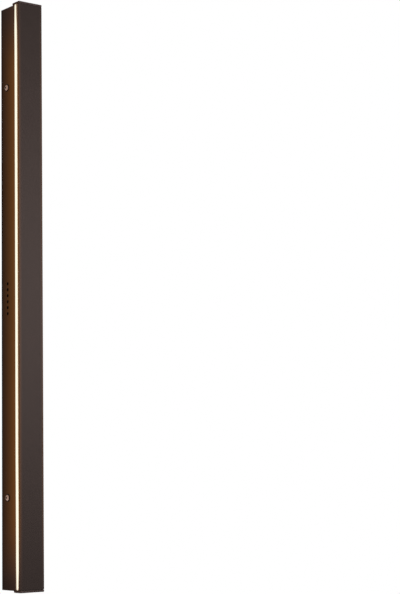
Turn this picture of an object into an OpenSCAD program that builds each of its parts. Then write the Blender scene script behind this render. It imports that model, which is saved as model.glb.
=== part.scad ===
// Long outdoor wall light: two opal light lines along the sides of a black aluminium bar.
// Origin: middle of the wall fixings, on the wall plane. +Z up, +Y into the wall, -Y to the viewer.

/* [Overall] */
// Overall length of the light
light_len = 1000; // [800:10:1500]
// Gap between the rear housing's rim and the wall
wall_gap = 0.5; // [0.3:0.1:2]

/* [Front housing] */
// Width of the front housing
front_w = 47; // [46:1:60]
// Depth of the front housing
front_d = 20; // [20:0.5:26]
// Thickness of the front plate
front_plate = 2.2; // [1.8:0.1:2.4]
// Thickness of the back plate
back_plate = 2; // [1.5:0.1:2.4]
// Radius of the two front edges
front_edge_r = 1; // [0.5:0.1:1.8]
// Radius of the two back edges
back_edge_r = 0.6; // [0.3:0.1:1.2]
// Half width of the middle chamber
chamber_half = 8; // [7.8:0.1:9]
// Thickness of the two inner webs
web_t = 1.6; // [1.2:0.1:2]
// Height of the fixing rib on the back plate
rib_h = 3; // [2:0.5:4]
// Half width of the fixing rib
rib_half = 6; // [5.8:0.1:7]

/* [Light line] */
// Distance from the front face to the light slot
slot_inset = 4.5; // [4.4:0.1:5]
// Width of the light slot
slot_w = 9; // [7:0.5:9.5]
// Thickness of the metal lips beside the slot
lip_t = 2; // [1.5:0.1:2.5]
// Width of the groove that holds the diffuser
groove_w = 2.2; // [1.8:0.1:2.6]
// Depth of the groove behind the lips
groove_d = 1.9; // [1.4:0.1:2]
// Thickness of the rib inside the groove
groove_rib = 1.5; // [1:0.1:2]
// How far the diffuser bulges out of the slot
bulge = 0.7; // [0.2:0.1:1.5]

/* [Rear housing] */
// Width of the rear housing
rear_w = 42; // [41:0.5:45]
// Depth from the wall to the joint between the housings
rear_d = 41; // [39:1:55]
// Wall thickness of the rear housing
rear_wall = 1.8; // [1.5:0.1:2]
// Radius of the rear housing's front edges
rear_edge_r = 0.8; // [0.3:0.1:1.5]
// How much shorter the rear housing is at each end
end_step = 2.7; // [0:0.1:5]

/* [End caps] */
// Thickness of the front end caps
front_cap_t = 3.7; // [3:0.1:6]
// Thickness of the gaskets under the front end caps
gasket_t = 0.8; // [0.5:0.1:2]
// Thickness of the rear end caps
rear_cap_t = 3.5; // [3:0.1:6]
// Radius of the cap's outer edge at the front
cap_front_r = 1.2; // [0.4:0.1:1.6]
// Radius of the cap's outer edge at the back
cap_back_r = 2.2; // [0.4:0.1:2.4]
// Radius of the cap's outer edges at the sides
cap_side_r = 1.5; // [0.4:0.1:2.5]
// Radius of the rear cap's outer edges
rear_cap_r = 1; // [0.3:0.1:1.5]
// Reach of the rear cap's tabs into the housing
tab_len = 5; // [3:0.5:10]

/* [Vents] */
// Number of vent holes on each side
vent_count = 6; // [1:1:9]
// Distance between vent holes
vent_pitch = 10.2; // [8:0.1:14]
// Diameter of a vent hole
vent_d = 5.4; // [3:0.1:6]
// Height of the middle of the vents
vent_mid_z = -9; // [-20:1:20]
// Distance of screws and vents from the wall
side_line = 19.7; // [17:0.1:24]

/* [Wall brackets] */
// Distance from the light's end to the bracket's middle
bracket_inset = 150; // [60:5:190]
// Height of a bracket
bracket_h = 70; // [66:1:100]
// Thickness of the bracket's steel
bracket_t = 2; // [1.5:0.1:3]
// How far the bracket's flanges reach from the wall
bracket_reach = 29; // [26:0.5:33]
// Height of the bracket's flanges
flange_h = 46; // [30:1:60]
// Distance between the two wall slots of a bracket
wall_slot_gap = 50; // [44:1:52]
// Width of a wall slot
wall_slot_w = 5.5; // [4:0.1:7]
// Length of a wall slot
wall_slot_len = 11; // [8:0.5:14]
// Side screw's height above the bracket's middle
screw_rise = 5.8; // [0:0.1:10]
// Free play between bracket and rear housing
bracket_gap = 0.3; // [0.3:0.05:0.6]

/* [Screws] */
// Thread diameter of the side screws
side_screw_d = 5; // [4:1:6]
// Head diameter of the side screws
side_head_d = 9.5; // [8:0.5:11]
// Head height of the side screws
side_head_h = 2.7; // [2:0.1:3.3]
// Width across flats of the side screws' socket
side_socket = 3; // [2.5:0.5:4]
// Outer diameter of the rubber washers
washer_d = 13; // [11.5:0.5:16]
// Thickness of the rubber washers
washer_t = 1.2; // [0.8:0.1:2]
// Width across flats of the side nuts
nut_af = 8; // [7.5:0.5:10]
// Height of the side nuts
nut_h = 4; // [3:0.5:5]
// Thread diameter of the joining screws
join_d = 3.5; // [3:0.1:3.5]
// Thread diameter of the earth screw
earth_d = 4; // [3.5:0.5:5]
// Thread diameter of the small screws
small_d = 3; // [2.5:0.1:3.2]
// Free play round a screw in its thread
thread_gap = 0.05; // [0.03:0.01:0.1]
// Distance from the light's end to the outer joining screws
join_inset = 40; // [25:5:60]
// Height of the inner joining screws
join_mid = 230; // [190:5:260]

/* [Light boards] */
// Width of a light board
board_w = 10; // [8:0.5:10]
// Thickness of a light board
board_t = 1.6; // [1:0.1:2]
// Distance between light chips
chip_pitch = 20; // [10:5:40]
// Distance from a board's end to the housing's end
board_gap = 5; // [2:1:10]
// Number of light chips from one board screw to the next
board_screw_every = 8; // [4:2:12]

/* [Driver] */
// Width of the driver
driver_w = 26; // [20:0.5:26]
// Depth of the driver case without its lid
driver_d = 20; // [19:0.5:21]
// Length of the driver case
driver_len = 150; // [110:5:160]
// Thickness of the driver lid
driver_lid_t = 2; // [1:0.5:3]

/* [Hidden] */
$fn = 48;
eps = 0.01;
cut = 1;
fit_gap = 0.1;
edge_break = 0.1;

light_half = light_len / 2;
light_d = rear_d + front_d;
front_half = front_w / 2;
rear_half = rear_w / 2;
rear_in = rear_half - rear_wall;
web_y = -rear_d + rear_wall;
front_y = -light_d;
back_y = -rear_d;
body_half = light_half - front_cap_t - gasket_t;
rear_top = light_half - end_step;
rear_body_half = rear_top - rear_cap_t;

// Light slot and the groove behind it
slot_y = front_y + slot_inset;
slot_mid_y = slot_y + slot_w / 2;
groove_out = front_half - lip_t;
groove_in = groove_out - groove_w;
jamb_in = groove_in - groove_rib;
web_out = chamber_half + web_t;
cell_front = front_y + front_plate;
cell_back = back_y - back_plate;

// Screw ports that run the length of the two housings
port_bore = small_d / 2 + thread_gap;
port_boss = 2.6;
port_sink = 2.2;
port_clear = 0.2;
front_port_x = 5;
front_port = [front_port_x, cell_front + port_sink];
back_port = [web_out + board_t + port_clear + port_boss, cell_back - port_sink];
rear_port = [rear_in - port_boss, web_y + port_boss];

// Places along the length
bracket_z = light_half - bracket_inset;
screw_zs = [bracket_z + screw_rise, -bracket_z + screw_rise];
bend_inner_r = 0.5;
nut_x = rear_in - 2 * bracket_gap - bracket_t - nut_h;
shank_over = 1;
socket_share = 0.65;
join_zs = [light_half - join_inset, join_mid, -join_mid, -light_half + join_inset];
gland_z = -160;
driver_z = vent_mid_z;
terminal_z = 117;
earth_z = 88;
clamp_z = 150;

// Small screws: pan and countersunk heads
pan_head_r = small_d * 0.9;
pan_head_h = small_d * 0.6;
pan_rim_share = 0.6;
pan_top_share = 0.7;
pan_floor_share = 0.45;
sunk_floor_share = 0.3;
sunk_head_r = small_d * 0.93;
sunk_head_h = small_d * 0.55;
sunk_depth = 0.2;
cap_screw_len = 12;
join_head_r = join_d * 0.9;
join_head_h = join_d * 0.6;
earth_head_r = earth_d * 0.9;
earth_head_h = earth_d * 0.6;
join_hole_gap = 0.2;
join_len = 6.4;
recess_share = 0.6;

// Driver
driver_wall = 1.5;
driver_half = driver_w / 2;
driver_ear = 10;
driver_ear_t = 2.5;
driver_rail_h = 3.5;
driver_rail_w = 2;
driver_board_t = 1.6;
driver_lead_rise = 11.2;
driver_lead_y = web_y + driver_lead_rise;
driver_screw_len = 8;
driver_screw_zs = [for (s = [-1, 1]) driver_z + s * (driver_len / 2 + driver_ear / 2)];
driver_back_y = web_y + driver_d;
driver_board_y = web_y + driver_wall + driver_rail_h;
driver_board_end = 3.5;
coil_size = [15, 12, 20];
coil_z = 20;
can_r = 4;
can_h = 11;
can_zs = [-18, -32];

// Terminal block, its clamp screws and the cord clamp
terminal_w = 26;
terminal_h = 18;
terminal_d = 14;
pole_pitch = 9;
pole_xs = [-pole_pitch, 0, pole_pitch];
terminal_end = terminal_z - terminal_h / 2;
wire_rise = 6.2;
wire_y = web_y + wire_rise;
wire_hole_r = 1.6;
pole_screw_r = 1.6;
pole_screw_len = 4;
pole_screw_sink = 1.3;
pole_screw_rise = 5;
terminal_fix_x = pole_pitch / 2;
clamp_w = 24;
clamp_h = 8;
clamp_d = 9;
clamp_bore_r = 3.8;
clamp_bore_rise = 3;
clamp_bore_y = web_y + clamp_bore_rise;
clamp_fix_x = 8.5;
clamp_edge_r = 2.2;

// Leads and cable gland: where a route has numbers of its own, they are points chosen by hand
lead_r = 1.1;
lead_grip = 4;
lead_straight = 6;
cable_straight = 5;
barrel_grip = 3;
mains_x = 5;
spline_steps = 3;
cable_steps = 4;
cable_turn_r = 9;
cable_lead_in = 6.5;
led_lead_r = 1;
cable_r = 2.2;
cable_hole_gap = 0.4;
lead_hole_r = 1.3;
lug_rim = 2;
lug_r = earth_d / 2 + lug_rim;
lug_t = 0.8;
lug_barrel_r = 1.7;
lug_barrel_len = 6;
gland_thread_r = 6;
gland_hex_af = 15;
gland_hex_h = 5;
gland_neck_r = 5.4;
gland_neck_h = 4;
gland_nut_r = 7.4;
gland_nut_h = 9;
gland_nut_lip = 1;
gland_nut_tip = 0.65;
gland_reach = 7.3;
gland_bore_r = 2.4;
gland_seal_h = 2;
sheath_peek = 1.5;
sheath_end_y = cell_back - rib_h - sheath_peek;
led_lead_y = slot_mid_y;
led_lead_x = 1.1;
solder_h = 0.8;
tube_sides = 12;

// Light chips
chip_size = [0.8, 3.5, 2.8];
board_len = 2 * (body_half - board_gap);
chip_count = 2 * floor(board_len / (2 * chip_pitch));
board_screw_count = 2 * floor(chip_count / (2 * board_screw_every));
board_screw_pitch = board_screw_every * chip_pitch;
first_board_screw_z = -(board_screw_count - 1) / 2 * board_screw_pitch;
board_screw_zs = [for (i = [0 : board_screw_count - 1]) first_board_screw_z + i * board_screw_pitch];
board_screw_d = 2.5;
board_screw_head_r = 2.1;
board_screw_head_h = 1.2;

frame_color = "#3a3634";
opal_color = "#fff3d6";
steel_color = "#b9bcc0";
rubber_color = "#1b1b1c";
plastic_color = "#d9d8d2";
board_color = "#e8e8e4";

// Cuts a square corner down to radius r, for the corner at the origin of the +X +Y quadrant
module corner_cut(r) {
  difference() {
    translate([-cut, -cut]) square(r + cut);
    translate([r, r]) circle(r);
  }
}

// Rectangle with the corners at y0 rounded by ra and those at y1 by rb
module round_rect(x0, x1, y0, y1, ra, rb) {
  difference() {
    translate([x0, y0]) square([x1 - x0, y1 - y0]);
    translate([x0, y0]) corner_cut(ra);
    translate([x1, y0]) rotate(90) corner_cut(ra);
    translate([x1, y1]) rotate(180) corner_cut(rb);
    translate([x0, y1]) rotate(270) corner_cut(rb);
  }
}

// Same shape on both sides of the light
module both_sides() {
  children();
  mirror([1, 0, 0]) children();
}

module both_sides_2d() {
  children();
  mirror([1, 0]) children();
}

// Same shape at both ends of the light
module both_ends() {
  children();
  mirror([0, 0, 1]) children();
}

// Round bar from the origin along +Y
module rod_y(r, h) {
  rotate([-90, 0, 0]) cylinder(h = h, r = r);
}

// Round bar from the origin along +X
module rod_x(r, h) {
  rotate([0, 90, 0]) cylinder(h = h, r = r);
}

// Pan-head screw: its head stands on the XY plane, its shank points down
module pan_screw(d, len, head_r, head_h) {
  difference() {
    union() {
      cylinder(h = head_h * pan_rim_share, r = head_r);
      translate([0, 0, head_h * pan_rim_share - eps])
        cylinder(h = head_h * (1 - pan_rim_share) + eps, r1 = head_r, r2 = head_r * pan_top_share);
      translate([0, 0, -len]) cylinder(h = len + eps, r = d / 2);
    }
    translate([0, 0, head_h * pan_floor_share]) cylinder(h = head_h, r = d * recess_share / 2, $fn = 6);
  }
}

// Countersunk screw: the top of its head lies on the XY plane
module sunk_screw(len) {
  difference() {
    union() {
      translate([0, 0, -sunk_head_h]) cylinder(h = sunk_head_h, r1 = small_d / 2, r2 = sunk_head_r);
      translate([0, 0, -len]) cylinder(h = len - sunk_head_h + eps, r = small_d / 2);
    }
    translate([0, 0, -sunk_head_h * (1 - sunk_floor_share)])
      cylinder(h = sunk_head_h, r = small_d * recess_share / 2, $fn = 6);
  }
}

// Hole for a countersunk screw through a cap of thickness t, from the XY plane down
module sunk_hole(t) {
  translate([0, 0, -t - cut]) cylinder(h = t + 2 * cut, r = small_d / 2 + fit_gap);
  translate([0, 0, -sunk_depth - sunk_head_h])
    cylinder(h = sunk_head_h, r1 = small_d / 2 + fit_gap, r2 = sunk_head_r + fit_gap);
  translate([0, 0, -sunk_depth - eps]) cylinder(h = sunk_depth + cut, r = sunk_head_r + fit_gap);
}

function unit(v) = v / norm(v);

// Points of a smooth curve through p, with n steps between neighbours
function spline_point(a, b, c, d, t) =
  0.5 * ((2 * b) + (c - a) * t + (2 * a - 5 * b + 4 * c - d) * t * t + (3 * b - a - 3 * c + d) * t * t * t);
function smooth(p, n) = concat(
  [for (i = [0 : len(p) - 2]) for (k = [0 : n - 1])
    spline_point(p[max(i - 1, 0)], p[i], p[i + 1], p[min(i + 2, len(p) - 1)], k / n)],
  [p[len(p) - 1]]
);
function tangent(p, i) = unit(p[min(i + 1, len(p) - 1)] - p[max(i - 1, 0)]);

// Ring of points round c, square to t; side is a direction that t never lies along
function ring(c, t, side, r) =
  let (u = unit(cross(t, side)), v = cross(u, t))
  [for (k = [0 : tube_sides - 1]) c + r * (cos(360 * k / tube_sides) * u + sin(360 * k / tube_sides) * v)];

// Solid lead along the points p
module lead(p, r, side) {
  rings = [for (i = [0 : len(p) - 1]) ring(p[i], tangent(p, i), side, r)];
  n = tube_sides;
  last = len(p) - 1;
  points = concat([for (q = rings) each q], [p[0], p[last]]);
  sides = [for (i = [0 : last - 1]) for (k = [0 : n - 1])
    let (a = i * n + k, b = i * n + (k + 1) % n) each [[a, b, b + n], [a, b + n, a + n]]];
  first_cap = [for (k = [0 : n - 1]) [len(points) - 2, (k + 1) % n, k]];
  last_cap = [for (k = [0 : n - 1]) [len(points) - 1, last * n + k, last * n + (k + 1) % n]];
  polyhedron(points = points, faces = concat(sides, first_cap, last_cap));
}

// Wall brackets: folded steel, open to the front
module bracket(mid_z) {
  w = rear_in - bracket_gap;
  bend_r = bracket_t + bend_inner_r;
  flange_mid = mid_z + screw_rise;
  wall_slot_r = wall_slot_w / 2;
  slot_r = side_screw_d / 2 + join_hole_gap;
  color(steel_color)
  difference() {
    translate([0, 0, mid_z - bracket_h / 2]) linear_extrude(bracket_h) difference() {
      round_rect(-w, w, -bracket_reach, 0, edge_break, bend_r);
      round_rect(-w + bracket_t, w - bracket_t, -bracket_reach - cut, -bracket_t, edge_break, bend_inner_r);
    }
    for (s = [-1, 1]) {
      cut_mid = flange_mid + s * (flange_h + bracket_h) / 2;
      translate([-front_half, -bracket_reach - cut, cut_mid - bracket_h / 2])
        cube([front_w, bracket_reach - bend_r + cut, bracket_h]);
      translate([0, -bracket_t - cut, mid_z + s * wall_slot_gap / 2]) {
        for (e = [-1, 1]) translate([0, 0, e * (wall_slot_len / 2 - wall_slot_r)])
          rod_y(wall_slot_r, bracket_t + 2 * cut);
        translate([-wall_slot_r, 0, -wall_slot_len / 2 + wall_slot_r])
          cube([wall_slot_w, bracket_t + 2 * cut, wall_slot_len - wall_slot_w]);
      }
    }
    translate([-front_half, -side_line, flange_mid]) rod_x(slot_r, front_w);
    translate([-front_half, -bracket_reach - cut, flange_mid - slot_r])
      cube([front_w, bracket_reach + cut - side_line, 2 * slot_r]);
  }
}

module upper_bracket() {
  bracket(bracket_z);
}

module lower_bracket() {
  bracket(-bracket_z);
}

// Outline of the front housing's section
module front_outline() {
  round_rect(-front_half, front_half, front_y, back_y, front_edge_r, back_edge_r);
}

// Light channel behind one slot
module channel_cut() {
  translate([jamb_in - eps, slot_y]) square([front_half - jamb_in + cut, slot_w]);
  translate([web_out, cell_front]) square([jamb_in - web_out, cell_back - cell_front]);
  translate([groove_in, slot_y - groove_d]) square([groove_w, slot_w + 2 * groove_d]);
}

module front_section() {
  difference() {
    front_outline();
    both_sides_2d() channel_cut();
    translate([-chamber_half, cell_front]) square([2 * chamber_half, cell_back - cell_front]);
  }
  translate([-rib_half, cell_back - rib_h]) square([2 * rib_half, rib_h + eps]);
  both_sides_2d() {
    translate(front_port) circle(port_boss);
    translate(back_port) circle(port_boss);
  }
}

// Holes through the joint between the housings, from the rear chamber forwards to depth d
module joint_hole(x, z, r, d) {
  translate([x, web_y + cut, z]) rotate([90, 0, 0]) cylinder(h = d + cut, r = r);
}

module front_housing() {
  color(frame_color)
  difference() {
    linear_extrude(2 * body_half, center = true) difference() {
      front_section();
      both_sides_2d() {
        translate(front_port) circle(port_bore);
        translate(back_port) circle(port_bore);
      }
    }
    for (z = join_zs) joint_hole(0, z, join_d / 2 + thread_gap, join_len + rear_wall);
    joint_hole(0, earth_z, earth_d / 2 + thread_gap, join_len + rear_wall);
    for (z = driver_screw_zs) joint_hole(0, z, port_bore, driver_screw_len);
    for (s = [-1, 1]) {
      joint_hole(s * terminal_fix_x, terminal_z, port_bore, rear_wall + back_plate + rib_h);
      joint_hole(s * clamp_fix_x, clamp_z, port_bore, rear_wall + back_plate);
    }
    joint_hole(0, gland_z, gland_thread_r + thread_gap, gland_reach + fit_gap);
    translate([-web_out - cut, led_lead_y, gland_z]) rod_x(lead_hole_r, 2 * (web_out + cut));
    both_sides() for (z = board_screw_zs)
      translate([chamber_half - cut, slot_mid_y, z]) rod_x(board_screw_d / 2 + thread_gap, web_t + 2 * cut);
  }
}

module rear_section() {
  difference() {
    round_rect(-rear_half, rear_half, back_y, -wall_gap, rear_edge_r, edge_break);
    translate([-rear_in, web_y]) square([2 * rear_in, rear_d]);
  }
  both_sides_2d() translate(rear_port) {
    circle(port_boss);
    translate([0, -port_boss - eps]) square(port_boss + eps);
  }
}

function vent_z(i) = vent_mid_z + (i - (vent_count - 1) / 2) * vent_pitch;

// Round hole along X through both walls of the rear housing, with a small outer bevel
module side_hole(z, r, bevel) {
  translate([-rear_half - cut, -side_line, z]) rod_x(r, rear_w + 2 * cut);
  both_sides() translate([rear_half - bevel, -side_line, z]) rotate([0, 90, 0])
    cylinder(h = bevel + eps, r1 = r, r2 = r + bevel + eps);
}

module rear_housing() {
  vent_bevel = 0.4;
  color(frame_color)
  difference() {
    linear_extrude(2 * rear_body_half, center = true) difference() {
      rear_section();
      both_sides_2d() translate(rear_port) circle(port_bore);
    }
    for (z = screw_zs) translate([-rear_half - cut, -side_line, z])
      rod_x(side_screw_d / 2 + join_hole_gap, rear_w + 2 * cut);
    for (i = [0 : vent_count - 1]) side_hole(vent_z(i), vent_d / 2, vent_bevel);
    for (z = join_zs) joint_hole(0, z, join_d / 2 + join_hole_gap, rear_wall + cut);
    joint_hole(0, earth_z, earth_d / 2 + join_hole_gap, rear_wall + cut);
    for (z = driver_screw_zs) joint_hole(0, z, small_d / 2 + join_hole_gap, rear_wall + cut);
    for (s = [-1, 1]) {
      joint_hole(s * terminal_fix_x, terminal_z, small_d / 2 + join_hole_gap, rear_wall + cut);
      joint_hole(s * clamp_fix_x, clamp_z, small_d / 2 + join_hole_gap, rear_wall + cut);
    }
    joint_hole(0, gland_z, gland_thread_r + join_hole_gap, rear_wall + cut);
  }
}

// End cap of the front housing, at the top end
module front_cap() {
  color(frame_color)
  difference() {
    intersection() {
      translate([0, 0, light_half - front_cap_t]) linear_extrude(front_cap_t) front_outline();
      rotate([90, 0, 90]) linear_extrude(2 * front_w, center = true) cap_side_outline();
      rotate([90, 0, 0]) linear_extrude(2 * light_d)
        round_rect(-front_half, front_half, light_half - 2 * front_cap_t, light_half, eps, cap_side_r);
    }
    both_sides() for (p = [front_port, back_port]) translate([p[0], p[1], light_half]) sunk_hole(front_cap_t);
  }
}

// Side view of the cap: different radii at the front and at the back
module cap_side_outline() {
  low = light_half - 2 * front_cap_t;
  difference() {
    translate([front_y, low]) square([front_d, light_half - low]);
    translate([front_y, light_half]) rotate(270) corner_cut(cap_front_r);
    translate([back_y, light_half]) rotate(180) corner_cut(cap_back_r);
  }
}

module front_cap_top() {
  front_cap();
}

module front_cap_bottom() {
  mirror([0, 0, 1]) front_cap();
}

module front_gasket() {
  color(rubber_color)
  translate([0, 0, body_half]) linear_extrude(gasket_t) difference() {
    round_rect(-front_half + fit_gap, front_half - fit_gap, front_y + fit_gap, back_y - fit_gap,
      front_edge_r, back_edge_r);
    both_sides_2d() for (p = [front_port, back_port]) translate(p) circle(small_d / 2 + join_hole_gap);
  }
}

module front_gasket_top() {
  front_gasket();
}

module front_gasket_bottom() {
  mirror([0, 0, 1]) front_gasket();
}

module front_cap_screws() {
  color(steel_color)
  both_ends() both_sides() for (p = [front_port, back_port])
    translate([p[0], p[1], light_half - sunk_depth]) sunk_screw(cap_screw_len);
}

// End cap of the rear housing, at the top end, with two tabs inside the walls
module rear_cap() {
  tab_gap = 0.15;
  tab_t = 1.8;
  tab_half = 8;
  color(frame_color)
  difference() {
    union() {
      intersection() {
        translate([0, 0, rear_body_half]) linear_extrude(rear_cap_t)
          round_rect(-rear_half, rear_half, back_y, -wall_gap, rear_edge_r, edge_break);
        rotate([90, 0, 0]) linear_extrude(2 * light_d, center = true)
          round_rect(-rear_half, rear_half, rear_top - 2 * rear_cap_t, rear_top, eps, rear_cap_r);
      }
      both_sides() translate([rear_in - tab_gap - tab_t, -side_line - tab_half, rear_body_half - tab_len])
        cube([tab_t, 2 * tab_half, tab_len + eps]);
    }
    both_sides() translate([rear_port[0], rear_port[1], rear_top]) sunk_hole(rear_cap_t);
  }
}

module rear_cap_top() {
  rear_cap();
}

module rear_cap_bottom() {
  mirror([0, 0, 1]) rear_cap();
}

module rear_cap_screws() {
  color(steel_color)
  both_ends() both_sides() translate([rear_port[0], rear_port[1], rear_top - sunk_depth])
    sunk_screw(cap_screw_len);
}

// Opal strip: a flange in the groove, a stem through the slot and a bulged outer face
module diffuser() {
  stem_half = slot_w / 2 - fit_gap;
  bulge_r = (stem_half * stem_half + bulge * bulge) / (2 * bulge);
  color(opal_color)
  translate([0, slot_mid_y, 0]) linear_extrude(2 * body_half - 2 * fit_gap, center = true) {
    translate([groove_in + fit_gap, -slot_w / 2 - groove_d + fit_gap])
      square([groove_w - 2 * fit_gap, slot_w + 2 * groove_d - 2 * fit_gap]);
    intersection() {
      translate([front_half + bulge - bulge_r, 0]) circle(bulge_r, $fn = 96);
      translate([groove_out - 2 * fit_gap, -stem_half]) square([lip_t + 2 * fit_gap + bulge, 2 * stem_half]);
    }
  }
}

module diffuser_right() {
  diffuser();
}

module diffuser_left() {
  mirror([1, 0, 0]) diffuser();
}

module led_board() {
  color(board_color)
  difference() {
    translate([web_out, slot_mid_y - board_w / 2, -board_len / 2]) cube([board_t, board_w, board_len]);
    for (z = board_screw_zs)
      translate([web_out - cut, slot_mid_y, z]) rod_x(board_screw_d / 2 + thread_gap, board_t + 2 * cut);
    translate([web_out - cut, slot_mid_y, gland_z]) rod_x(lead_hole_r, board_t + 2 * cut);
  }
}

module led_board_right() {
  led_board();
}

module led_board_left() {
  mirror([1, 0, 0]) led_board();
}

module led_chips() {
  color("#f2e08a")
  for (i = [0 : chip_count - 1])
    translate([web_out + board_t, slot_mid_y, (i - (chip_count - 1) / 2) * chip_pitch])
      translate([0, -chip_size[1] / 2, -chip_size[2] / 2]) cube(chip_size);
}

module led_chips_right() {
  led_chips();
}

module led_chips_left() {
  mirror([1, 0, 0]) led_chips();
}

module board_screws() {
  color(steel_color)
  both_sides() for (z = board_screw_zs)
    translate([web_out + board_t, slot_mid_y, z]) rotate([0, 90, 0])
      pan_screw(board_screw_d, board_t + web_t, board_screw_head_r, board_screw_head_h);
}

// Screw whose head stands on the web of the rear housing or on what it holds, at height y
module rear_screw(x, y, z, d, len, head_r, head_h) {
  translate([x, y, z]) rotate([-90, 0, 0]) pan_screw(d, len, head_r, head_h);
}

module joining_screws() {
  color(steel_color)
  for (z = join_zs) rear_screw(0, web_y, z, join_d, join_len, join_head_r, join_head_h);
}

// Driver case, open at the back, with an ear at each end and a rail on each side for the board
module driver_case() {
  color("#c8cacc")
  difference() {
    union() {
      difference() {
        translate([-driver_half, web_y, driver_z - driver_len / 2]) cube([driver_w, driver_d, driver_len]);
        translate([-driver_half + driver_wall, web_y + driver_wall, driver_z - driver_len / 2 + driver_wall])
          cube([driver_w - 2 * driver_wall, driver_d, driver_len - 2 * driver_wall]);
      }
      both_sides() translate([driver_half - driver_wall - driver_rail_w, web_y + driver_wall - eps,
        driver_z - driver_len / 2 + driver_wall - eps])
        cube([driver_rail_w + eps, driver_rail_h + eps, driver_len - 2 * driver_wall + 2 * eps]);
      for (s = [0, 1]) translate([-driver_half, web_y, driver_z - driver_len / 2 - driver_ear
        + s * (driver_len + driver_ear - eps)])
        cube([driver_w, driver_ear_t, driver_ear + eps]);
    }
    for (z = driver_screw_zs) translate([0, web_y - cut, z])
      rod_y(small_d / 2 + join_hole_gap, driver_ear_t + 2 * cut);
    both_sides() translate([mains_x, driver_lead_y, driver_z + driver_len / 2 - driver_wall - cut])
      cylinder(h = driver_wall + 2 * cut, r = lead_hole_r);
    translate([0, driver_lead_y, driver_z - driver_len / 2 - cut])
      cylinder(h = driver_wall + 2 * cut, r = cable_r + cable_hole_gap);
  }
}

module driver_lid() {
  color("#aeb2b6")
  translate([-driver_half, driver_back_y, driver_z - driver_len / 2])
    cube([driver_w, driver_lid_t, driver_len]);
}

module driver_board() {
  color("#2f6b45")
  translate([-driver_half + driver_wall + fit_gap, driver_board_y,
    driver_z - driver_len / 2 + driver_board_end])
    cube([driver_w - 2 * driver_wall - 2 * fit_gap, driver_board_t, driver_len - 2 * driver_board_end]);
}

module driver_transformer() {
  color("#d9b84a")
  translate([-coil_size[0] / 2, driver_board_y + driver_board_t, driver_z + coil_z - coil_size[2] / 2])
    cube(coil_size);
}

module driver_capacitors() {
  color("#26364f")
  for (z = can_zs) translate([0, driver_board_y + driver_board_t, driver_z + z]) rod_y(can_r, can_h);
}

module driver_screws() {
  color(steel_color)
  for (z = driver_screw_zs)
    rear_screw(0, web_y + driver_ear_t, z, small_d, driver_screw_len, pan_head_r, pan_head_h);
}

module terminal_block() {
  color(plastic_color)
  difference() {
    translate([-terminal_w / 2, web_y, terminal_end]) cube([terminal_w, terminal_d, terminal_h]);
    for (x = pole_xs) {
      translate([x, wire_y, terminal_end - cut]) cylinder(h = terminal_h + 2 * cut, r = wire_hole_r);
      for (s = [-1, 1]) translate([x, wire_y, terminal_z + s * pole_screw_rise])
        rod_y(pole_screw_r + thread_gap, terminal_d);
    }
    for (s = [-1, 1]) translate([s * terminal_fix_x, web_y - cut, terminal_z])
      rod_y(small_d / 2 + join_hole_gap, terminal_d + 2 * cut);
  }
}

module terminal_screws() {
  slot_size = 0.6;
  color("#c9a54a")
  for (x = pole_xs) for (s = [-1, 1])
    translate([x, web_y + terminal_d - pole_screw_sink - pole_screw_len, terminal_z + s * pole_screw_rise])
      difference() {
        rod_y(pole_screw_r, pole_screw_len);
        translate([-pole_screw_r - cut, pole_screw_len - slot_size, -slot_size / 2])
          cube([2 * (pole_screw_r + cut), slot_size + cut, slot_size]);
      }
}

module terminal_fixings() {
  color(steel_color)
  for (s = [-1, 1]) rear_screw(s * terminal_fix_x, web_y + terminal_d, terminal_z, small_d,
    terminal_d + rear_wall + back_plate + rib_h - cut, pan_head_r, pan_head_h);
}

// Saddle that holds the supply cord against the web
module cord_clamp() {
  color(plastic_color)
  difference() {
    translate([0, 0, clamp_z - clamp_h / 2]) linear_extrude(clamp_h) difference() {
      round_rect(-clamp_w / 2, clamp_w / 2, web_y, web_y + clamp_d, edge_break, clamp_edge_r);
      translate([0, clamp_bore_y]) circle(clamp_bore_r);
      translate([-clamp_bore_r, web_y - cut]) square([2 * clamp_bore_r, clamp_bore_y - web_y + cut]);
    }
    for (s = [-1, 1]) translate([s * clamp_fix_x, web_y - cut, clamp_z])
      rod_y(small_d / 2 + join_hole_gap, clamp_d + 2 * cut);
  }
}

module clamp_screws() {
  color(steel_color)
  for (s = [-1, 1]) rear_screw(s * clamp_fix_x, web_y + clamp_d, clamp_z, small_d,
    clamp_d + rear_wall + back_plate - fit_gap, pan_head_r, pan_head_h);
}

// Lead from an outer pole of the terminal block, on side s, to the driver
module mains_lead(s) {
  driver_end = driver_z + driver_len / 2;
  drop = terminal_end - driver_end;
  lead(smooth([
    [s * pole_pitch, wire_y, terminal_end + lead_grip],
    [s * pole_pitch, wire_y, terminal_end - 2],
    [s * pole_pitch, wire_y, terminal_end - drop * 0.25],
    [s * (mains_x + 1), driver_lead_y - 1, driver_end + drop * 0.4],
    [s * mains_x, driver_lead_y, driver_end + lead_straight],
    [s * mains_x, driver_lead_y, driver_end - lead_grip]
  ], spline_steps), lead_r, [0, 1, 0]);
}

module live_lead() {
  color("#7a3b1e")
  mains_lead(-1);
}

module neutral_lead() {
  color("#2b5fa8")
  mains_lead(1);
}

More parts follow.
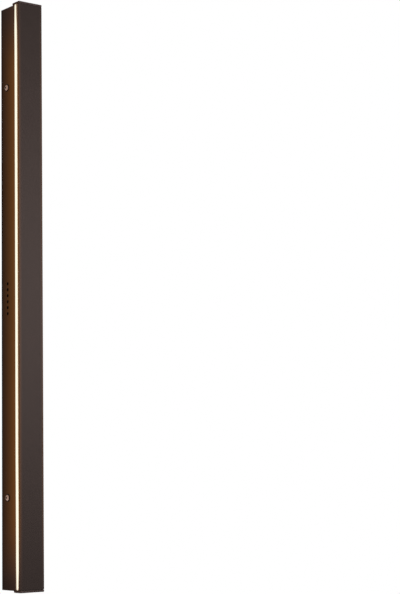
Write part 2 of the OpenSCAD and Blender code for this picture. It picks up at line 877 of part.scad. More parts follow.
module earth_lead() {
  barrel_z = earth_z + lug_r + fit_gap;
  barrel_top = barrel_z + lug_barrel_len;
  barrel_y = web_y + lug_barrel_r;
  color("#5d9a3a") {
    lead(smooth([
      [0, wire_y, terminal_end + lead_grip],
      [0, wire_y, terminal_end - 1],
      [0, (wire_y + barrel_y) / 2, (terminal_end + barrel_top) / 2],
      [0, barrel_y, barrel_top],
      [0, barrel_y, barrel_top - barrel_grip]
    ], spline_steps), lead_r, [1, 0, 0]);
    translate([0, barrel_y, barrel_z]) cylinder(h = lug_barrel_len, r = lug_barrel_r);
    difference() {
      union() {
        translate([0, web_y, earth_z]) rod_y(lug_r, lug_t);
        translate([-lug_barrel_r, web_y, earth_z]) cube([2 * lug_barrel_r, lug_t, barrel_z + 1 - earth_z]);
      }
      translate([0, web_y - cut, earth_z]) rod_y(earth_d / 2 + join_hole_gap, lug_t + 2 * cut);
    }
  }
}

module earth_screw() {
  color(steel_color)
  rear_screw(0, web_y + lug_t, earth_z, earth_d, join_len + lug_t, earth_head_r, earth_head_h);
}

// Cable from the driver through the gland into the front housing
module led_cable() {
  driver_end = driver_z - driver_len / 2;
  gland_mouth = web_y + gland_hex_h + gland_nut_h;
  turn_y = gland_mouth + cable_lead_in;
  turn_z = gland_z + cable_turn_r;
  fall = driver_end - turn_z;
  reach = turn_y + cable_turn_r - driver_lead_y;
  color("#202124")
  lead(smooth([
    [0, driver_lead_y, driver_end + lead_grip],
    [0, driver_lead_y, driver_end - cable_straight],
    [0, driver_lead_y + reach * 0.15, turn_z + fall * 0.7],
    [0, driver_lead_y + reach * 0.6, turn_z + fall * 0.4],
    [0, driver_lead_y + reach * 0.95, turn_z + fall * 0.14],
    [0, turn_y + cable_turn_r * cos(10), turn_z - cable_turn_r * sin(10)],
    [0, turn_y + cable_turn_r * cos(50), turn_z - cable_turn_r * sin(50)],
    [0, turn_y, gland_z],
    [0, gland_mouth - 1, gland_z],
    [0, web_y, gland_z],
    [0, sheath_end_y, gland_z]
  ], cable_steps), cable_r, [1, 0, 0]);
}

module led_leads() {
  turn = 2;
  color("#b03a2e")
  both_sides() lead(smooth([
    [led_lead_x, sheath_end_y - fit_gap, gland_z],
    [led_lead_x, sheath_end_y - fit_gap - turn / 4, gland_z],
    [led_lead_x, sheath_end_y - fit_gap - turn / 2, gland_z],
    [led_lead_x, led_lead_y + turn, gland_z],
    [led_lead_x + turn * 0.3, led_lead_y + turn * 0.3, gland_z],
    [led_lead_x + turn, led_lead_y, gland_z],
    [chamber_half, led_lead_y, gland_z],
    [web_out + board_t + solder_h, led_lead_y, gland_z]
  ], spline_steps), led_lead_r, [0, 0, 1]);
}

module gland_body() {
  hex_r = gland_hex_af / 2 / cos(30);
  color("#2b2b2d")
  translate([0, web_y, gland_z]) difference() {
    union() {
      rotate([-90, 0, 0]) cylinder(h = gland_hex_h, r = hex_r, $fn = 6);
      translate([0, -gland_reach, 0]) rod_y(gland_thread_r, gland_reach + eps);
      translate([0, gland_hex_h - eps, 0]) rod_y(gland_neck_r, gland_neck_h + eps);
    }
    translate([0, -gland_reach - cut, 0])
      rod_y(gland_bore_r, gland_reach + gland_hex_h + gland_neck_h + 2 * cut);
  }
}

module gland_nut() {
  seal_space = gland_neck_h + gland_seal_h;
  taper = gland_nut_h - seal_space - gland_nut_lip;
  color("#2b2b2d")
  translate([0, web_y + gland_hex_h, gland_z]) difference() {
    union() {
      rod_y(gland_nut_r, gland_nut_h - taper);
      translate([0, gland_nut_h - taper - eps, 0]) rotate([-90, 0, 0])
        cylinder(h = taper, r1 = gland_nut_r, r2 = gland_nut_r * gland_nut_tip);
    }
    translate([0, -cut, 0]) rod_y(gland_neck_r + thread_gap, seal_space + cut);
    translate([0, seal_space - eps, 0]) rod_y(gland_bore_r, gland_nut_h);
  }
}

module gland_seal() {
  color("#8d8f92")
  translate([0, web_y + gland_hex_h + gland_neck_h, gland_z]) difference() {
    rod_y(gland_neck_r - thread_gap, gland_seal_h);
    translate([0, -cut, 0]) rod_y(cable_r + thread_gap, gland_seal_h + 2 * cut);
  }
}

// Side screw with a domed head and a hexagon socket, pointing into the light from +X
module side_screw() {
  head_r = side_head_d / 2;
  rim = 0.5;
  dome = side_head_h - rim;
  dome_r = (head_r * head_r + dome * dome) / (2 * dome);
  seat = rear_half + washer_t;
  shank = seat - nut_x + shank_over;
  translate([seat, -side_line, 0]) rotate([0, 90, 0]) difference() {
    union() {
      cylinder(h = rim, r = head_r);
      intersection() {
        translate([0, 0, side_head_h - dome_r]) sphere(dome_r, $fn = 96);
        cylinder(h = side_head_h + cut, r = head_r);
        translate([0, 0, rim - eps]) cylinder(h = side_head_h, r = head_r + cut);
      }
      translate([0, 0, -shank]) cylinder(h = shank + eps, r = side_screw_d / 2);
    }
    translate([0, 0, side_head_h * (1 - socket_share)])
      cylinder(h = side_head_h, r = side_socket / 2 / cos(30), $fn = 6);
  }
}

module side_screws() {
  color(steel_color)
  both_sides() for (z = screw_zs) translate([0, 0, z]) side_screw();
}

module side_washers() {
  color(rubber_color)
  both_sides() for (z = screw_zs) translate([rear_half, -side_line, z]) difference() {
    rod_x(washer_d / 2, washer_t);
    translate([-cut, 0, 0]) rod_x(side_screw_d / 2 + fit_gap, washer_t + 2 * cut);
  }
}

module side_nuts() {
  color(steel_color)
  both_sides() for (z = screw_zs) translate([nut_x, -side_line, z]) difference() {
    rotate([0, 90, 0]) cylinder(h = nut_h, r = nut_af / 2 / cos(30), $fn = 6);
    translate([-cut, 0, 0]) rod_x(side_screw_d / 2 + thread_gap, nut_h + 2 * cut);
  }
}

upper_bracket();
lower_bracket();
front_housing();
rear_housing();
front_cap_top();
front_cap_bottom();
front_gasket_top();
front_gasket_bottom();
front_cap_screws();
rear_cap_top();
rear_cap_bottom();
rear_cap_screws();
diffuser_left();
diffuser_right();
led_board_left();
led_board_right();
led_chips_left();
led_chips_right();
board_screws();
joining_screws();
driver_case();
driver_lid();
driver_board();
driver_transformer();
driver_capacitors();
driver_screws();
terminal_block();
terminal_screws();
terminal_fixings();
cord_clamp();
clamp_screws();
live_lead();
neutral_lead();
earth_lead();
earth_screw();
led_cable();
led_leads();
gland_body();
gland_nut();
gland_seal();
side_screws();
side_washers();
side_nuts();
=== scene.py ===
import math
import bmesh
import bpy
from mathutils import Matrix, Vector


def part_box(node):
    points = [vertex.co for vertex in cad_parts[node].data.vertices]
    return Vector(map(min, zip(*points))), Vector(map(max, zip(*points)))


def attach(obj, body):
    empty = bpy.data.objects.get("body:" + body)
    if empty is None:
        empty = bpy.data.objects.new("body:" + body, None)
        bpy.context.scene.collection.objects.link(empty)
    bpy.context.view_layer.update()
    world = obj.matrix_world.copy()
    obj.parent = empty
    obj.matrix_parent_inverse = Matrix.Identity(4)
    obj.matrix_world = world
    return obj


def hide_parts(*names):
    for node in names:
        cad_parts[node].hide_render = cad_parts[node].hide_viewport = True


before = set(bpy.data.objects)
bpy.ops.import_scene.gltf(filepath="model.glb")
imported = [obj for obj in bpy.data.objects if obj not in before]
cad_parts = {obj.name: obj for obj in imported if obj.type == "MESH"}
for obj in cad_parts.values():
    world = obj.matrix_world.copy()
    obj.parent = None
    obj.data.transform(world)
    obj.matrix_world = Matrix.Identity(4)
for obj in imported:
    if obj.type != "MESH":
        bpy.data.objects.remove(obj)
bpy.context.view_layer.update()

mm = 0.001
print("frame loaded:", len(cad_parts), "nodes")


# places read from the solids, in millimetres

def nodeBox(node):
    return [[round(value / mm, 2) for value in corner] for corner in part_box(node)]


def pieceName(node):  # front_cap_top gives frontCapTop
    first, *rest = node.split("_")
    return first + "".join(word.capitalize() for word in rest)


frontLow, frontHigh = nodeBox("front_housing")
rearLow, rearHigh = nodeBox("rear_housing")
stripLow, stripHigh = nodeBox("diffuser_right")
stripY = (stripLow[1] + stripHigh[1]) / 2
jointY = rearLow[1]  # where the two housings meet
washerRadius = 6.5
washerLow, washerHigh = nodeBox("side_washers")
sideLine = (washerLow[1] + washerHigh[1]) / 2
sideHeights = (washerHigh[2] - washerRadius, washerLow[2] + washerRadius)
headX = washerHigh[0]  # where the side screws' heads sit


# small helpers for node trees

class Wire:  # an output socket that sums can be written with
    def __init__(self, socket):
        self.socket = socket
        self.tree = socket.id_data

    def __add__(self, other):
        return calc("ADD", self, other)

    def __sub__(self, other):
        return calc("SUBTRACT", self, other)

    def __rsub__(self, other):
        return calc("SUBTRACT", other, self)

    def __mul__(self, other):
        return calc("MULTIPLY", self, other)

    def __abs__(self):
        return calc("ABSOLUTE", self)

    def fade(self, low, high, start=0.0, end=1.0, kind="SMOOTHSTEP"):
        inputs = {"Value": self, "From Min": low, "From Max": high, "To Min": start, "To Max": end}
        return addNode(self.tree, "ShaderNodeMapRange", inputs, interpolation_type=kind, clamp=True)


def plugAll(sockets, values):
    for key, value in values.items():
        if isinstance(value, Wire):
            value.tree.links.new(value.socket, sockets[key])
        else:
            sockets[key].default_value = value


def addNode(tree, kind, inputs=None, output=0, **settings):
    node = tree.nodes.new(kind)
    for name, value in settings.items():
        setattr(node, name, value)
    plugAll(node.inputs, inputs or {})
    return Wire(node.outputs[output])


def wiresOf(node):
    return {socket.name: Wire(socket) for socket in node.outputs}


def operate(kind, values, output=0, **settings):  # a node in the tree of the first wire among the values
    tree = next(value.tree for value in values if isinstance(value, Wire))
    return addNode(tree, kind, dict(enumerate(values)), output, **settings)


def calc(operation, *values, clamp=False):
    return operate("ShaderNodeMath", values, operation=operation, use_clamp=clamp)


def vectorCalc(operation, *values, output=0):
    return operate("ShaderNodeVectorMath", values, output, operation=operation)


def axesOf(vector):
    node = vector.tree.nodes.new("ShaderNodeSeparateXYZ")
    plugAll(node.inputs, {0: vector})
    return list(wiresOf(node).values())


def inMillimetres(vector):
    return [axis * (1 / mm) for axis in axesOf(vector)]


def addNoise(vector, scale, detail, rough):
    inputs = {"Vector": vector, "Scale": scale, "Detail": detail, "Roughness": rough}
    return addNode(vector.tree, "ShaderNodeTexNoise", inputs, "Fac")


def mixColour(share, first, second):
    return addNode(share.tree, "ShaderNodeMix", {0: share, 6: first, 7: second}, 2, data_type="RGBA")


def newTree(name, kind, inputs, outputs):  # sockets by name and type
    tree = bpy.data.node_groups.new(name, kind)
    for direction, sockets in (("INPUT", inputs), ("OUTPUT", outputs)):
        for label, socketType in sockets.items():
            tree.interface.new_socket(label, in_out=direction, socket_type="NodeSocket" + socketType)
    return tree, wiresOf(tree.nodes.new("NodeGroupInput")), tree.nodes.new("NodeGroupOutput").inputs


def useGroup(group, coords, **inputs):
    node = coords.tree.nodes.new("ShaderNodeGroup")
    node.node_tree = group
    plugAll(node.inputs, {"Vector": coords, **inputs})
    return wiresOf(node)


# shader groups that several finishes share; each noise is (detail, roughness)

grain = dict(fineNoise=(3.0, 0.5), broadNoise=(4.0, 0.6), broadScale=0.04, fineShare=0.4, swing=3.0,
    roughFrom=(0.35, 0.65), bump=0.0001)


def makeGrainGroup():
    tree, given, result = newTree(
        "fineGrain", "ShaderNodeTree",
        dict(Vector="Vector", Stretch="Vector", Size="Float", Shade="Float", RoughLow="Float",
            RoughHigh="Float"),
        dict(Height="Float", Tint="Float", Roughness="Float"))
    place = vectorCalc("MULTIPLY", given["Vector"], given["Stretch"])
    scale = calc("DIVIDE", 1.0, given["Size"])
    fine = addNoise(place, scale, *grain["fineNoise"])
    broad = addNoise(place, scale * grain["broadScale"], *grain["broadNoise"])
    both = fine * grain["fineShare"] + broad * (1 - grain["fineShare"])
    tint = (both - 0.5) * (given["Shade"] * grain["swing"]) + 1.0
    rough = both.fade(*grain["roughFrom"]) * (given["RoughHigh"] - given["RoughLow"]) + given["RoughLow"]
    plugAll(result, {"Height": fine, "Tint": tint, "Roughness": rough})
    return tree


# edges lighter in patches: partly wear, partly a painted edge highlight
wear = dict(radius=0.0006, samples=4, turn=(0.99, 0.86), patch=0.01, noise=(5.0, 0.65),
    patchFrom=(0.42, 0.68))


def makeWearAndHighlightGroup():
    tree, given, result = newTree(
        "edgeWearAndHighlight", "ShaderNodeTree", dict(Vector="Vector", Amount="Float"), dict(Mask="Float"))
    soft = addNode(tree, "ShaderNodeBevel", {"Radius": wear["radius"]}, samples=wear["samples"])
    plain = addNode(tree, "ShaderNodeNewGeometry", output="Normal")
    edge = vectorCalc("DOT_PRODUCT", soft, plain, output="Value").fade(*wear["turn"])
    patches = addNoise(given["Vector"], 1 / wear["patch"], *wear["noise"]).fade(*wear["patchFrom"])
    plugAll(result, {"Mask": calc("MULTIPLY", edge * patches, given["Amount"], clamp=True)})
    return tree


dust = dict(colour=(0.32, 0.3, 0.27, 1.0), scale=420.0, noise=(5.0, 0.7), upward=(0.2, 0.95),
    veilFrom=(0.35, 0.7), speckFrom=(0.6, 0.72), specks=0.12, rough=1.2)


def makeDustGroup():
    tree, given, result = newTree(
        "settledDust", "ShaderNodeTree", dict(Vector="Vector", Amount="Float"), dict(Mask="Float"))
    upward = axesOf(addNode(tree, "ShaderNodeTexCoord", output="Normal"))[2]
    flecks = addNoise(given["Vector"], dust["scale"], *dust["noise"])
    veil = upward.fade(*dust["upward"]) * flecks.fade(*dust["veilFrom"])
    both = calc("MAXIMUM", veil, flecks.fade(*dust["speckFrom"]) * dust["specks"])
    plugAll(result, {"Mask": calc("MULTIPLY", both, given["Amount"], clamp=True)})
    return tree


spill = dict(  # warm light of the strips, painted as glow on the faces beside them, lengths in millimetres
    middleColour=(0.117, 0.0415, 0.0075, 1.0), endColour=(0.043, 0.0205, 0.0125, 1.0), endZ=(370.0, 500.0),
    edgeY=(-1.5, -5.5), rearX=(20.55, 20.9), rise=1.35, feet=(0.12, 0.34), joint=0.02,
    lipX=(21.6, 22.2), turn=(0.15, 0.75), lipY=(-57.5, -50.0), lipShares=(0.86, 0.95),
    bleedX=(17.6, 23.2), bleed=0.36, lowZ=(-455.0, -500.0), lowShare=0.6)


# painted light: the strips' warm glow laid as emission on the housing faces beside them
def makePaintedSpillGroup():
    tree, given, result = newTree(
        "paintedStripSpill", "ShaderNodeTree", dict(Vector="Vector", Level="Float"), dict(Glow="Color"))
    s = spill
    x, y, z = inMillimetres(given["Vector"])
    sideways = abs(axesOf(addNode(tree, "ShaderNodeTexCoord", output="Normal"))[0])
    ends = abs(z).fade(*s["endZ"])
    foot = ends.fade(0.0, 1.0, *s["feet"], kind="LINEAR")
    back = calc("POWER", calc("DIVIDE", y, jointY, clamp=True), s["rise"])
    onRear = ((1.0 - foot) * back + foot) * y.fade(*s["edgeY"]) * abs(x).fade(*s["rearX"])
    lip = sideways.fade(*s["turn"]) * abs(x).fade(*s["lipX"]) * y.fade(*s["lipY"], *s["lipShares"])
    onFront = calc("MAXIMUM", lip, abs(x).fade(*s["bleedX"], 0.0, s["bleed"]))
    isRear = y.fade(jointY - s["joint"], jointY + s["joint"])
    level = addNode(tree, "ShaderNodeMix", {0: isRear, 2: onFront, 3: onRear}, data_type="FLOAT")
    level = level * z.fade(*s["lowZ"], 1.0, s["lowShare"]) * given["Level"]
    colour = mixColour(ends, s["middleColour"], s["endColour"])
    plugAll(result, {"Glow": mixColour(level, (0, 0, 0, 1), colour)})
    return tree


grainGroup = makeGrainGroup()
wearAndHighlightGroup = makeWearAndHighlightGroup()
dustGroup = makeDustGroup()
paintedSpillGroup = makePaintedSpillGroup()


# finishes: one row of values each, grain in metres, missing values from plainFinish

plainFinish = dict(shade=0.12, rough=(0.38, 0.5), grain=0.0007, relief=0.1, stretch=(1, 1, 1), metal=0.0,
    specular=0.5, wear=0.0, wornAndHighlightColour=(0, 0, 0), dust=0.0, spill=0.0)
coatFinish = dict(shade=0.1, rough=(0.5, 0.64), grain=0.0009, relief=0.3, specular=0.05, dust=0.12, spill=1.0)
steelFinish = dict(shade=0.08, grain=0.0004, relief=0.08, metal=1.0, wear=0.3, dust=0.1)
finishValues = dict(
    powderCoat=dict(coatFinish, colour=(0.056, 0.0405, 0.0365), wear=0.15, wornAndHighlightColour=(0.1, 0.08, 0.072)),
    # lighter copy of the coat for the end caps: a painted highlight of the light their top edges catch
    capCoat=dict(coatFinish, colour=(0.088, 0.06, 0.056), wear=0.3, wornAndHighlightColour=(0.13, 0.1, 0.09)),
    zincPlate=dict(colour=(0.46, 0.47, 0.48), shade=0.16, rough=(0.4, 0.54), metal=1.0, stretch=(1, 1, 0.12),
        wear=0.5, wornAndHighlightColour=(0.74, 0.75, 0.76), dust=0.2),
    stainless=dict(steelFinish, colour=(0.64, 0.62, 0.6), rough=(0.2, 0.34), wornAndHighlightColour=(0.8, 0.79, 0.78)),
    # stainless of the side screws, tinted warm and given glow: painted light of the strips beside them
    stainlessPaintedWarmGlow=dict(steelFinish, colour=(0.68, 0.55, 0.49), rough=(0.3, 0.44),
        wornAndHighlightColour=(0.74, 0.64, 0.58), spill=1.9),
    sealRubber=dict(colour=(0.02, 0.019, 0.019), rough=(0.62, 0.78), grain=0.0006, relief=0.2, specular=0.3,
        wear=0.2, wornAndHighlightColour=(0.06, 0.058, 0.056), dust=0.35, spill=0.12),
    # near-black pads behind the vent holes: painted shade inside the vents
    ventShadeFoam=dict(colour=(0.012, 0.011, 0.011), shade=0.3, rough=(0.8, 0.92), grain=0.0005, relief=0.9,
        specular=0.1, dust=0.3),
    whiteMask=dict(colour=(0.8, 0.8, 0.77), shade=0.05, grain=0.0012, relief=0.05, dust=0.1),
    pressedAluminium=dict(colour=(0.56, 0.57, 0.58), rough=(0.38, 0.52), grain=0.0008, relief=0.12, metal=1.0,
        stretch=(1, 1, 0.06), wear=0.4, wornAndHighlightColour=(0.78, 0.79, 0.8), dust=0.15),
    greenMask=dict(colour=(0.05, 0.19, 0.09), shade=0.14, rough=(0.3, 0.42), grain=0.0015, dust=0.1),
    coilTape=dict(colour=(0.7, 0.5, 0.12), shade=0.14, rough=(0.35, 0.5), grain=0.0012, relief=0.3,
        stretch=(1, 1, 5)),
    canSleeve=dict(colour=(0.03, 0.06, 0.12), shade=0.1, rough=(0.25, 0.4), grain=0.001),
    mouldedNylon=dict(colour=(0.72, 0.71, 0.66), shade=0.06, rough=(0.4, 0.54), grain=0.0006, relief=0.12,
        wear=0.2, wornAndHighlightColour=(0.82, 0.81, 0.77), dust=0.25),
    turnedBrass=dict(colour=(0.7, 0.5, 0.22), rough=(0.26, 0.4), grain=0.0004, relief=0.08, metal=1.0),
    brownSheath=dict(colour=(0.14, 0.052, 0.022)),
    blueSheath=dict(colour=(0.03, 0.12, 0.4)),
    earthSheath=dict(colour=(0.09, 0.3, 0.06)),
    redSheath=dict(colour=(0.42, 0.04, 0.03)),
    cableSheath=dict(colour=(0.02, 0.02, 0.021), rough=(0.45, 0.6), grain=0.0009, relief=0.15, dust=0.2),
    glandNylon=dict(colour=(0.026, 0.026, 0.028), rough=(0.42, 0.56), grain=0.0006, relief=0.15,
        wear=0.3, wornAndHighlightColour=(0.08, 0.08, 0.084), dust=0.2))


def newMaterial(name):
    material = bpy.data.materials.new(name)
    material.use_nodes = True
    tree = material.node_tree
    coords = addNode(tree, "ShaderNodeTexCoord", output="Object")
    return material, tree.nodes["Principled BSDF"].inputs, coords


def addGrain(shader, coords, given):  # roughness and relief, gives back tint and roughness
    fine = useGroup(grainGroup, coords, Size=given["grain"], Stretch=given["stretch"], Shade=given["shade"],
        RoughLow=given["rough"][0], RoughHigh=given["rough"][1])
    height = {"Strength": given["relief"], "Distance": grain["bump"], "Height": fine["Height"]}
    plugAll(shader, {"Roughness": fine["Roughness"], "Specular IOR Level": given["specular"],
        "Normal": addNode(coords.tree, "ShaderNodeBump", height)})
    return fine["Tint"], fine["Roughness"]


def makeFinish(name):
    given = {**plainFinish, **finishValues[name]}
    material, shader, coords = newMaterial(name)
    tint, rough = addGrain(shader, coords, given)
    base = vectorCalc("MULTIPLY", given["colour"], tint)
    # lighter edges: wear and a painted edge highlight
    if given["wear"]:
        wornAndHighlight = useGroup(wearAndHighlightGroup, coords, Amount=given["wear"])["Mask"]
        base = mixColour(wornAndHighlight, base, (*given["wornAndHighlightColour"], 1.0))
    if given["dust"]:
        settled = useGroup(dustGroup, coords, Amount=given["dust"])["Mask"]
        base = mixColour(settled, base, dust["colour"])
        rough = calc("MAXIMUM", rough, settled * dust["rough"], clamp=True)
    plugAll(shader, {"Base Color": base, "Roughness": rough, "Metallic": given["metal"]})
    # painted glow of the strips' light on this finish
    if given["spill"]:
        glow = useGroup(paintedSpillGroup, coords, Level=given["spill"])["Glow"]
        plugAll(shader, {"Emission Color": glow, "Emission Strength": 1.0})
    return material


opal = dict(  # the lit strip, its lit band narrowed by painted shade at its sides and towards its ends, lengths in millimetres, grain in metres
    litY=-52.25, widths=(3.85, 2.5), narrowZ=(446.0, 492.0), roundZ=(490.5, 495.4), leastWidth=0.1,
    leans=[((400.0, 480.0), 0.6), ((-250.0, -420.0), -0.95)],  # painted shift of the lit band near the ends, between which heights, and how far
    middleColour=(1.0, 0.975, 0.81, 1.0), edgeColour=(0.95, 0.8, 0.55, 1.0),
    endColour=(0.17, 0.075, 0.024, 1.0), warmFrom=(0.3, 1.0), darkFrom=(0.86, 1.14), strength=0.94,
    body=(0.88, 0.85, 0.78, 1.0), specular=0.3, grain=0.0008, shade=0.04, rough=(0.34, 0.46), relief=0.06)


def makeOpal():
    d = {**plainFinish, **opal}
    material, shader, coords = newMaterial("litOpal")
    addGrain(shader, coords, d)
    _, y, z = inMillimetres(coords)
    top, low = (z.fade(*heights, 0.0, shift) for heights, shift in d["leans"])
    off = abs(y - (top + low + d["litY"]))
    width = abs(z).fade(*d["narrowZ"], *d["widths"])
    tip = abs(z).fade(*d["roundZ"], kind="LINEAR")
    tip = calc("SQRT", 1.0 - tip * tip)
    share = calc("DIVIDE", off, calc("MAXIMUM", width * tip, d["leastWidth"]))
    warm = mixColour(share.fade(*d["warmFrom"]), d["middleColour"], d["edgeColour"])
    # past the band's width the strip turns dark: painted shade of the slot's lips
    glow = mixColour(share.fade(*d["darkFrom"]), warm, d["endColour"])
    plugAll(shader, {"Base Color": d["body"], "Emission Color": glow, "Emission Strength": d["strength"]})
    return material


phosphor = dict(padHalf=(1.15, 1.05), scale=2600.0, noise=(3.0, 0.5), rough=0.35, strength=0.6,
    yellows=((0.9, 0.62, 0.08, 1), (0.95, 0.78, 0.3, 1)), frame=(0.8, 0.8, 0.77, 1),
    frameGlow=(0.1, 0.08, 0.05, 1), glow=(1.0, 0.78, 0.42, 1))


def makePhosphor():
    d = phosphor
    material, shader, coords = newMaterial("chipPhosphor")
    pad = abs(inMillimetres(coords)[1] - stripY).fade(*d["padHalf"])
    yellow = mixColour(addNoise(coords, d["scale"], *d["noise"]), *d["yellows"])
    glow = mixColour(pad, d["frameGlow"], d["glow"])
    plugAll(shader, {"Base Color": mixColour(pad, d["frame"], yellow), "Roughness": d["rough"],
        "Emission Color": glow, "Emission Strength": d["strength"]})
    return material


def paintOver(share, colours):  # lays colours over what the shader's sockets have
    shader = share.tree.nodes["Principled BSDF"].inputs
    for name, colour in colours.items():
        old = Wire(shader[name].links[0].from_socket)
        plugAll(shader, {name: mixColour(share, old, colour)})


stripe = dict(spacing=0.25, share=0.09, colours={"Base Color": (0.75, 0.6, 0.05, 1.0)})


def addStripe(material):  # yellow stripe of the earth lead, from the tube's own attribute
    around = addNode(material.node_tree, "ShaderNodeAttribute", output="Fac", attribute_name="around")
    fromStripe = calc("PINGPONG", around, stripe["spacing"])
    paintOver(calc("LESS_THAN", fromStripe, stripe["share"]), stripe["colours"])


socketShade = dict(radii=(2.05, 2.1), mouth=(2.02, 2.2),
    colours={"Base Color": (0.03, 0.022, 0.018, 1.0), "Emission Color": (0, 0, 0, 1)})


def shadeSockets(material):  # the side screws' hex sockets lie in shade
    d = socketShade
    tree = material.node_tree
    x, y, z = inMillimetres(addNode(tree, "ShaderNodeTexCoord", output="Object"))
    middle, reach = sum(sideHeights) / 2, (sideHeights[0] - sideHeights[1]) / 2
    across = addNode(tree, "ShaderNodeCombineXYZ", {"X": y - sideLine, "Y": abs(z - middle) - reach})
    beside = vectorCalc("LENGTH", across, output="Value").fade(*d["radii"])
    above = abs(x).fade(*(headX + height for height in d["mouth"]))
    paintOver(1.0 - calc("MAXIMUM", beside, above), d["colours"])


finishes = {name: makeFinish(name) for name in finishValues}
finishes.update(litOpal=makeOpal(), chipPhosphor=makePhosphor())
addStripe(finishes["earthSheath"])
shadeSockets(finishes["stainlessPaintedWarmGlow"])
print("finishes made:", len(finishes))


# geometry trees: sections, rows of holes, seated pieces, tubes, grips

seam = 0.001  # points closer than this are joined

def newShapeTree(name, **inputs):
    inputs = dict(Geometry="Geometry", **inputs, Material="Material")
    return newTree(name, "GeometryNodeTree", inputs, dict(Geometry="Geometry"))


def closeTree(given, result, shape):
    real = addNode(shape.tree, "GeometryNodeRealizeInstances", {"Geometry": shape})
    inputs = {"Geometry": real, "Material": given["Material"]}
    plugAll(result, {0: addNode(shape.tree, "GeometryNodeSetMaterial", inputs)})
    return shape.tree


def makeBarTree():
    tree, given, result = newShapeTree("extrudeSection", HalfLength="Float")
    face = addNode(tree, "GeometryNodeFillCurve", {"Curve": given["Geometry"]}, mode="NGONS")
    drop = addNode(tree, "ShaderNodeCombineXYZ", {"Z": given["HalfLength"] * -1.0})
    low = addNode(tree, "GeometryNodeTransform", {"Geometry": face, "Translation": drop})
    rise = addNode(tree, "ShaderNodeCombineXYZ", {"Z": given["HalfLength"] * 2.0})
    body = addNode(tree, "GeometryNodeExtrudeMesh", {"Mesh": low, "Offset": rise, "Individual": False})
    foot = addNode(tree, "GeometryNodeFlipFaces", {"Mesh": low})
    joined = tree.nodes.new("GeometryNodeJoinGeometry")
    for part in (body, foot):
        plugAll(joined.inputs, {0: part})
    closed = addNode(tree, "GeometryNodeMergeByDistance", {
        "Geometry": Wire(joined.outputs[0]), "Distance": seam * mm})
    return closeTree(given, result, closed)


def makeHoleTree():
    tree, given, result = newShapeTree(
        "rowOfHoles", Cutter="Object", Count="Int", First="Vector", Step="Vector")
    line = addNode(tree, "GeometryNodeMeshLine", {
        "Count": given["Count"], "Start Location": given["First"], "Offset": given["Step"]})
    cutter = addNode(tree, "GeometryNodeObjectInfo", {"Object": given["Cutter"]}, "Geometry")
    row = addNode(tree, "GeometryNodeInstanceOnPoints", {"Points": line, "Instance": cutter})
    row = addNode(tree, "GeometryNodeRealizeInstances", {"Geometry": row})
    cut = addNode(tree, "GeometryNodeMeshBoolean", {"Mesh 1": given["Geometry"], "Mesh 2": row},
        operation="DIFFERENCE", solver="MANIFOLD")
    return closeTree(given, result, cut)


def makeSeatTree():
    tree, given, result = newShapeTree("seatPieces", Piece="Object")
    turn = addNode(tree, "GeometryNodeInputNamedAttribute", {"Name": "turn"}, data_type="FLOAT_VECTOR")
    turn = addNode(tree, "FunctionNodeEulerToRotation", {0: turn})
    piece = addNode(tree, "GeometryNodeObjectInfo", {"Object": given["Piece"]}, "Geometry")
    seated = addNode(tree, "GeometryNodeInstanceOnPoints", {
        "Points": given["Geometry"], "Instance": piece, "Rotation": turn})
    return closeTree(given, result, seated)


def makeTubeTree():
    tree, given, result = newShapeTree("tubeOnRoute", Radius="Float", Sides="Int")
    rim = addNode(tree, "GeometryNodeCurvePrimitiveCircle", {
        "Resolution": given["Sides"], "Radius": given["Radius"]})
    share = addNode(tree, "GeometryNodeSplineParameter", output="Factor")
    marked = addNode(tree, "GeometryNodeStoreNamedAttribute", {
        "Geometry": rim, "Name": "around", "Value": share})
    tube = addNode(tree, "GeometryNodeCurveToMesh", {
        "Curve": given["Geometry"], "Profile Curve": marked, "Fill Caps": True})
    return closeTree(given, result, tube)


def makeGripTree():
    tree, given, result = newShapeTree(
        "gripRibs", Ribs="Int", Depth="Float", Low="Float", High="Float", Inner="Float")
    place = addNode(tree, "GeometryNodeInputPosition")
    x, y, z = axesOf(place)
    wave = calc("COSINE", calc("ARCTAN2", y, x) * given["Ribs"])
    flat = vectorCalc("MULTIPLY", place, (1, 1, 0))
    reach = vectorCalc("LENGTH", flat, output="Value")
    zone = calc("GREATER_THAN", z, given["Low"]) * calc("LESS_THAN", z, given["High"])
    zone = zone * calc("GREATER_THAN", reach, given["Inner"])
    depth = (wave - 1.0) * (given["Depth"] * 0.5) * zone
    shift = vectorCalc("MULTIPLY", vectorCalc("NORMALIZE", flat), depth)
    moved = addNode(tree, "GeometryNodeSetPosition", {"Geometry": given["Geometry"], "Offset": shift})
    return closeTree(given, result, moved)


barTree = makeBarTree()
holeTree = makeHoleTree()
seatTree = makeSeatTree()
tubeTree = makeTubeTree()
gripTree = makeGripTree()


# objects and meshes, sizes and places in millimetres

def addShaping(obj, tree, finish, **values):
    modifier = obj.modifiers.new(tree.name, "NODES")
    modifier.node_group = tree
    values["Material"] = finishes[finish]
    for item in tree.interface.items_tree:
        if item.in_out == "INPUT" and item.name in values:
            modifier[item.identifier] = values[item.name]


def newObject(name, data):
    obj = bpy.data.objects.new(name, data)
    bpy.context.scene.collection.objects.link(obj)
    return obj


def meshFrom(bm, name):
    mesh = bpy.data.meshes.new(name)
    bm.to_mesh(mesh)
    bm.free()
    return mesh


def settle(obj, name):  # evaluated shape as a plain mesh object, the shaping object is removed
    bpy.context.view_layer.update()
    mesh = bpy.data.meshes.new_from_object(obj.evaluated_get(bpy.context.evaluated_depsgraph_get()))
    bpy.data.objects.remove(obj)
    mesh.name = name
    return newObject(name, mesh)


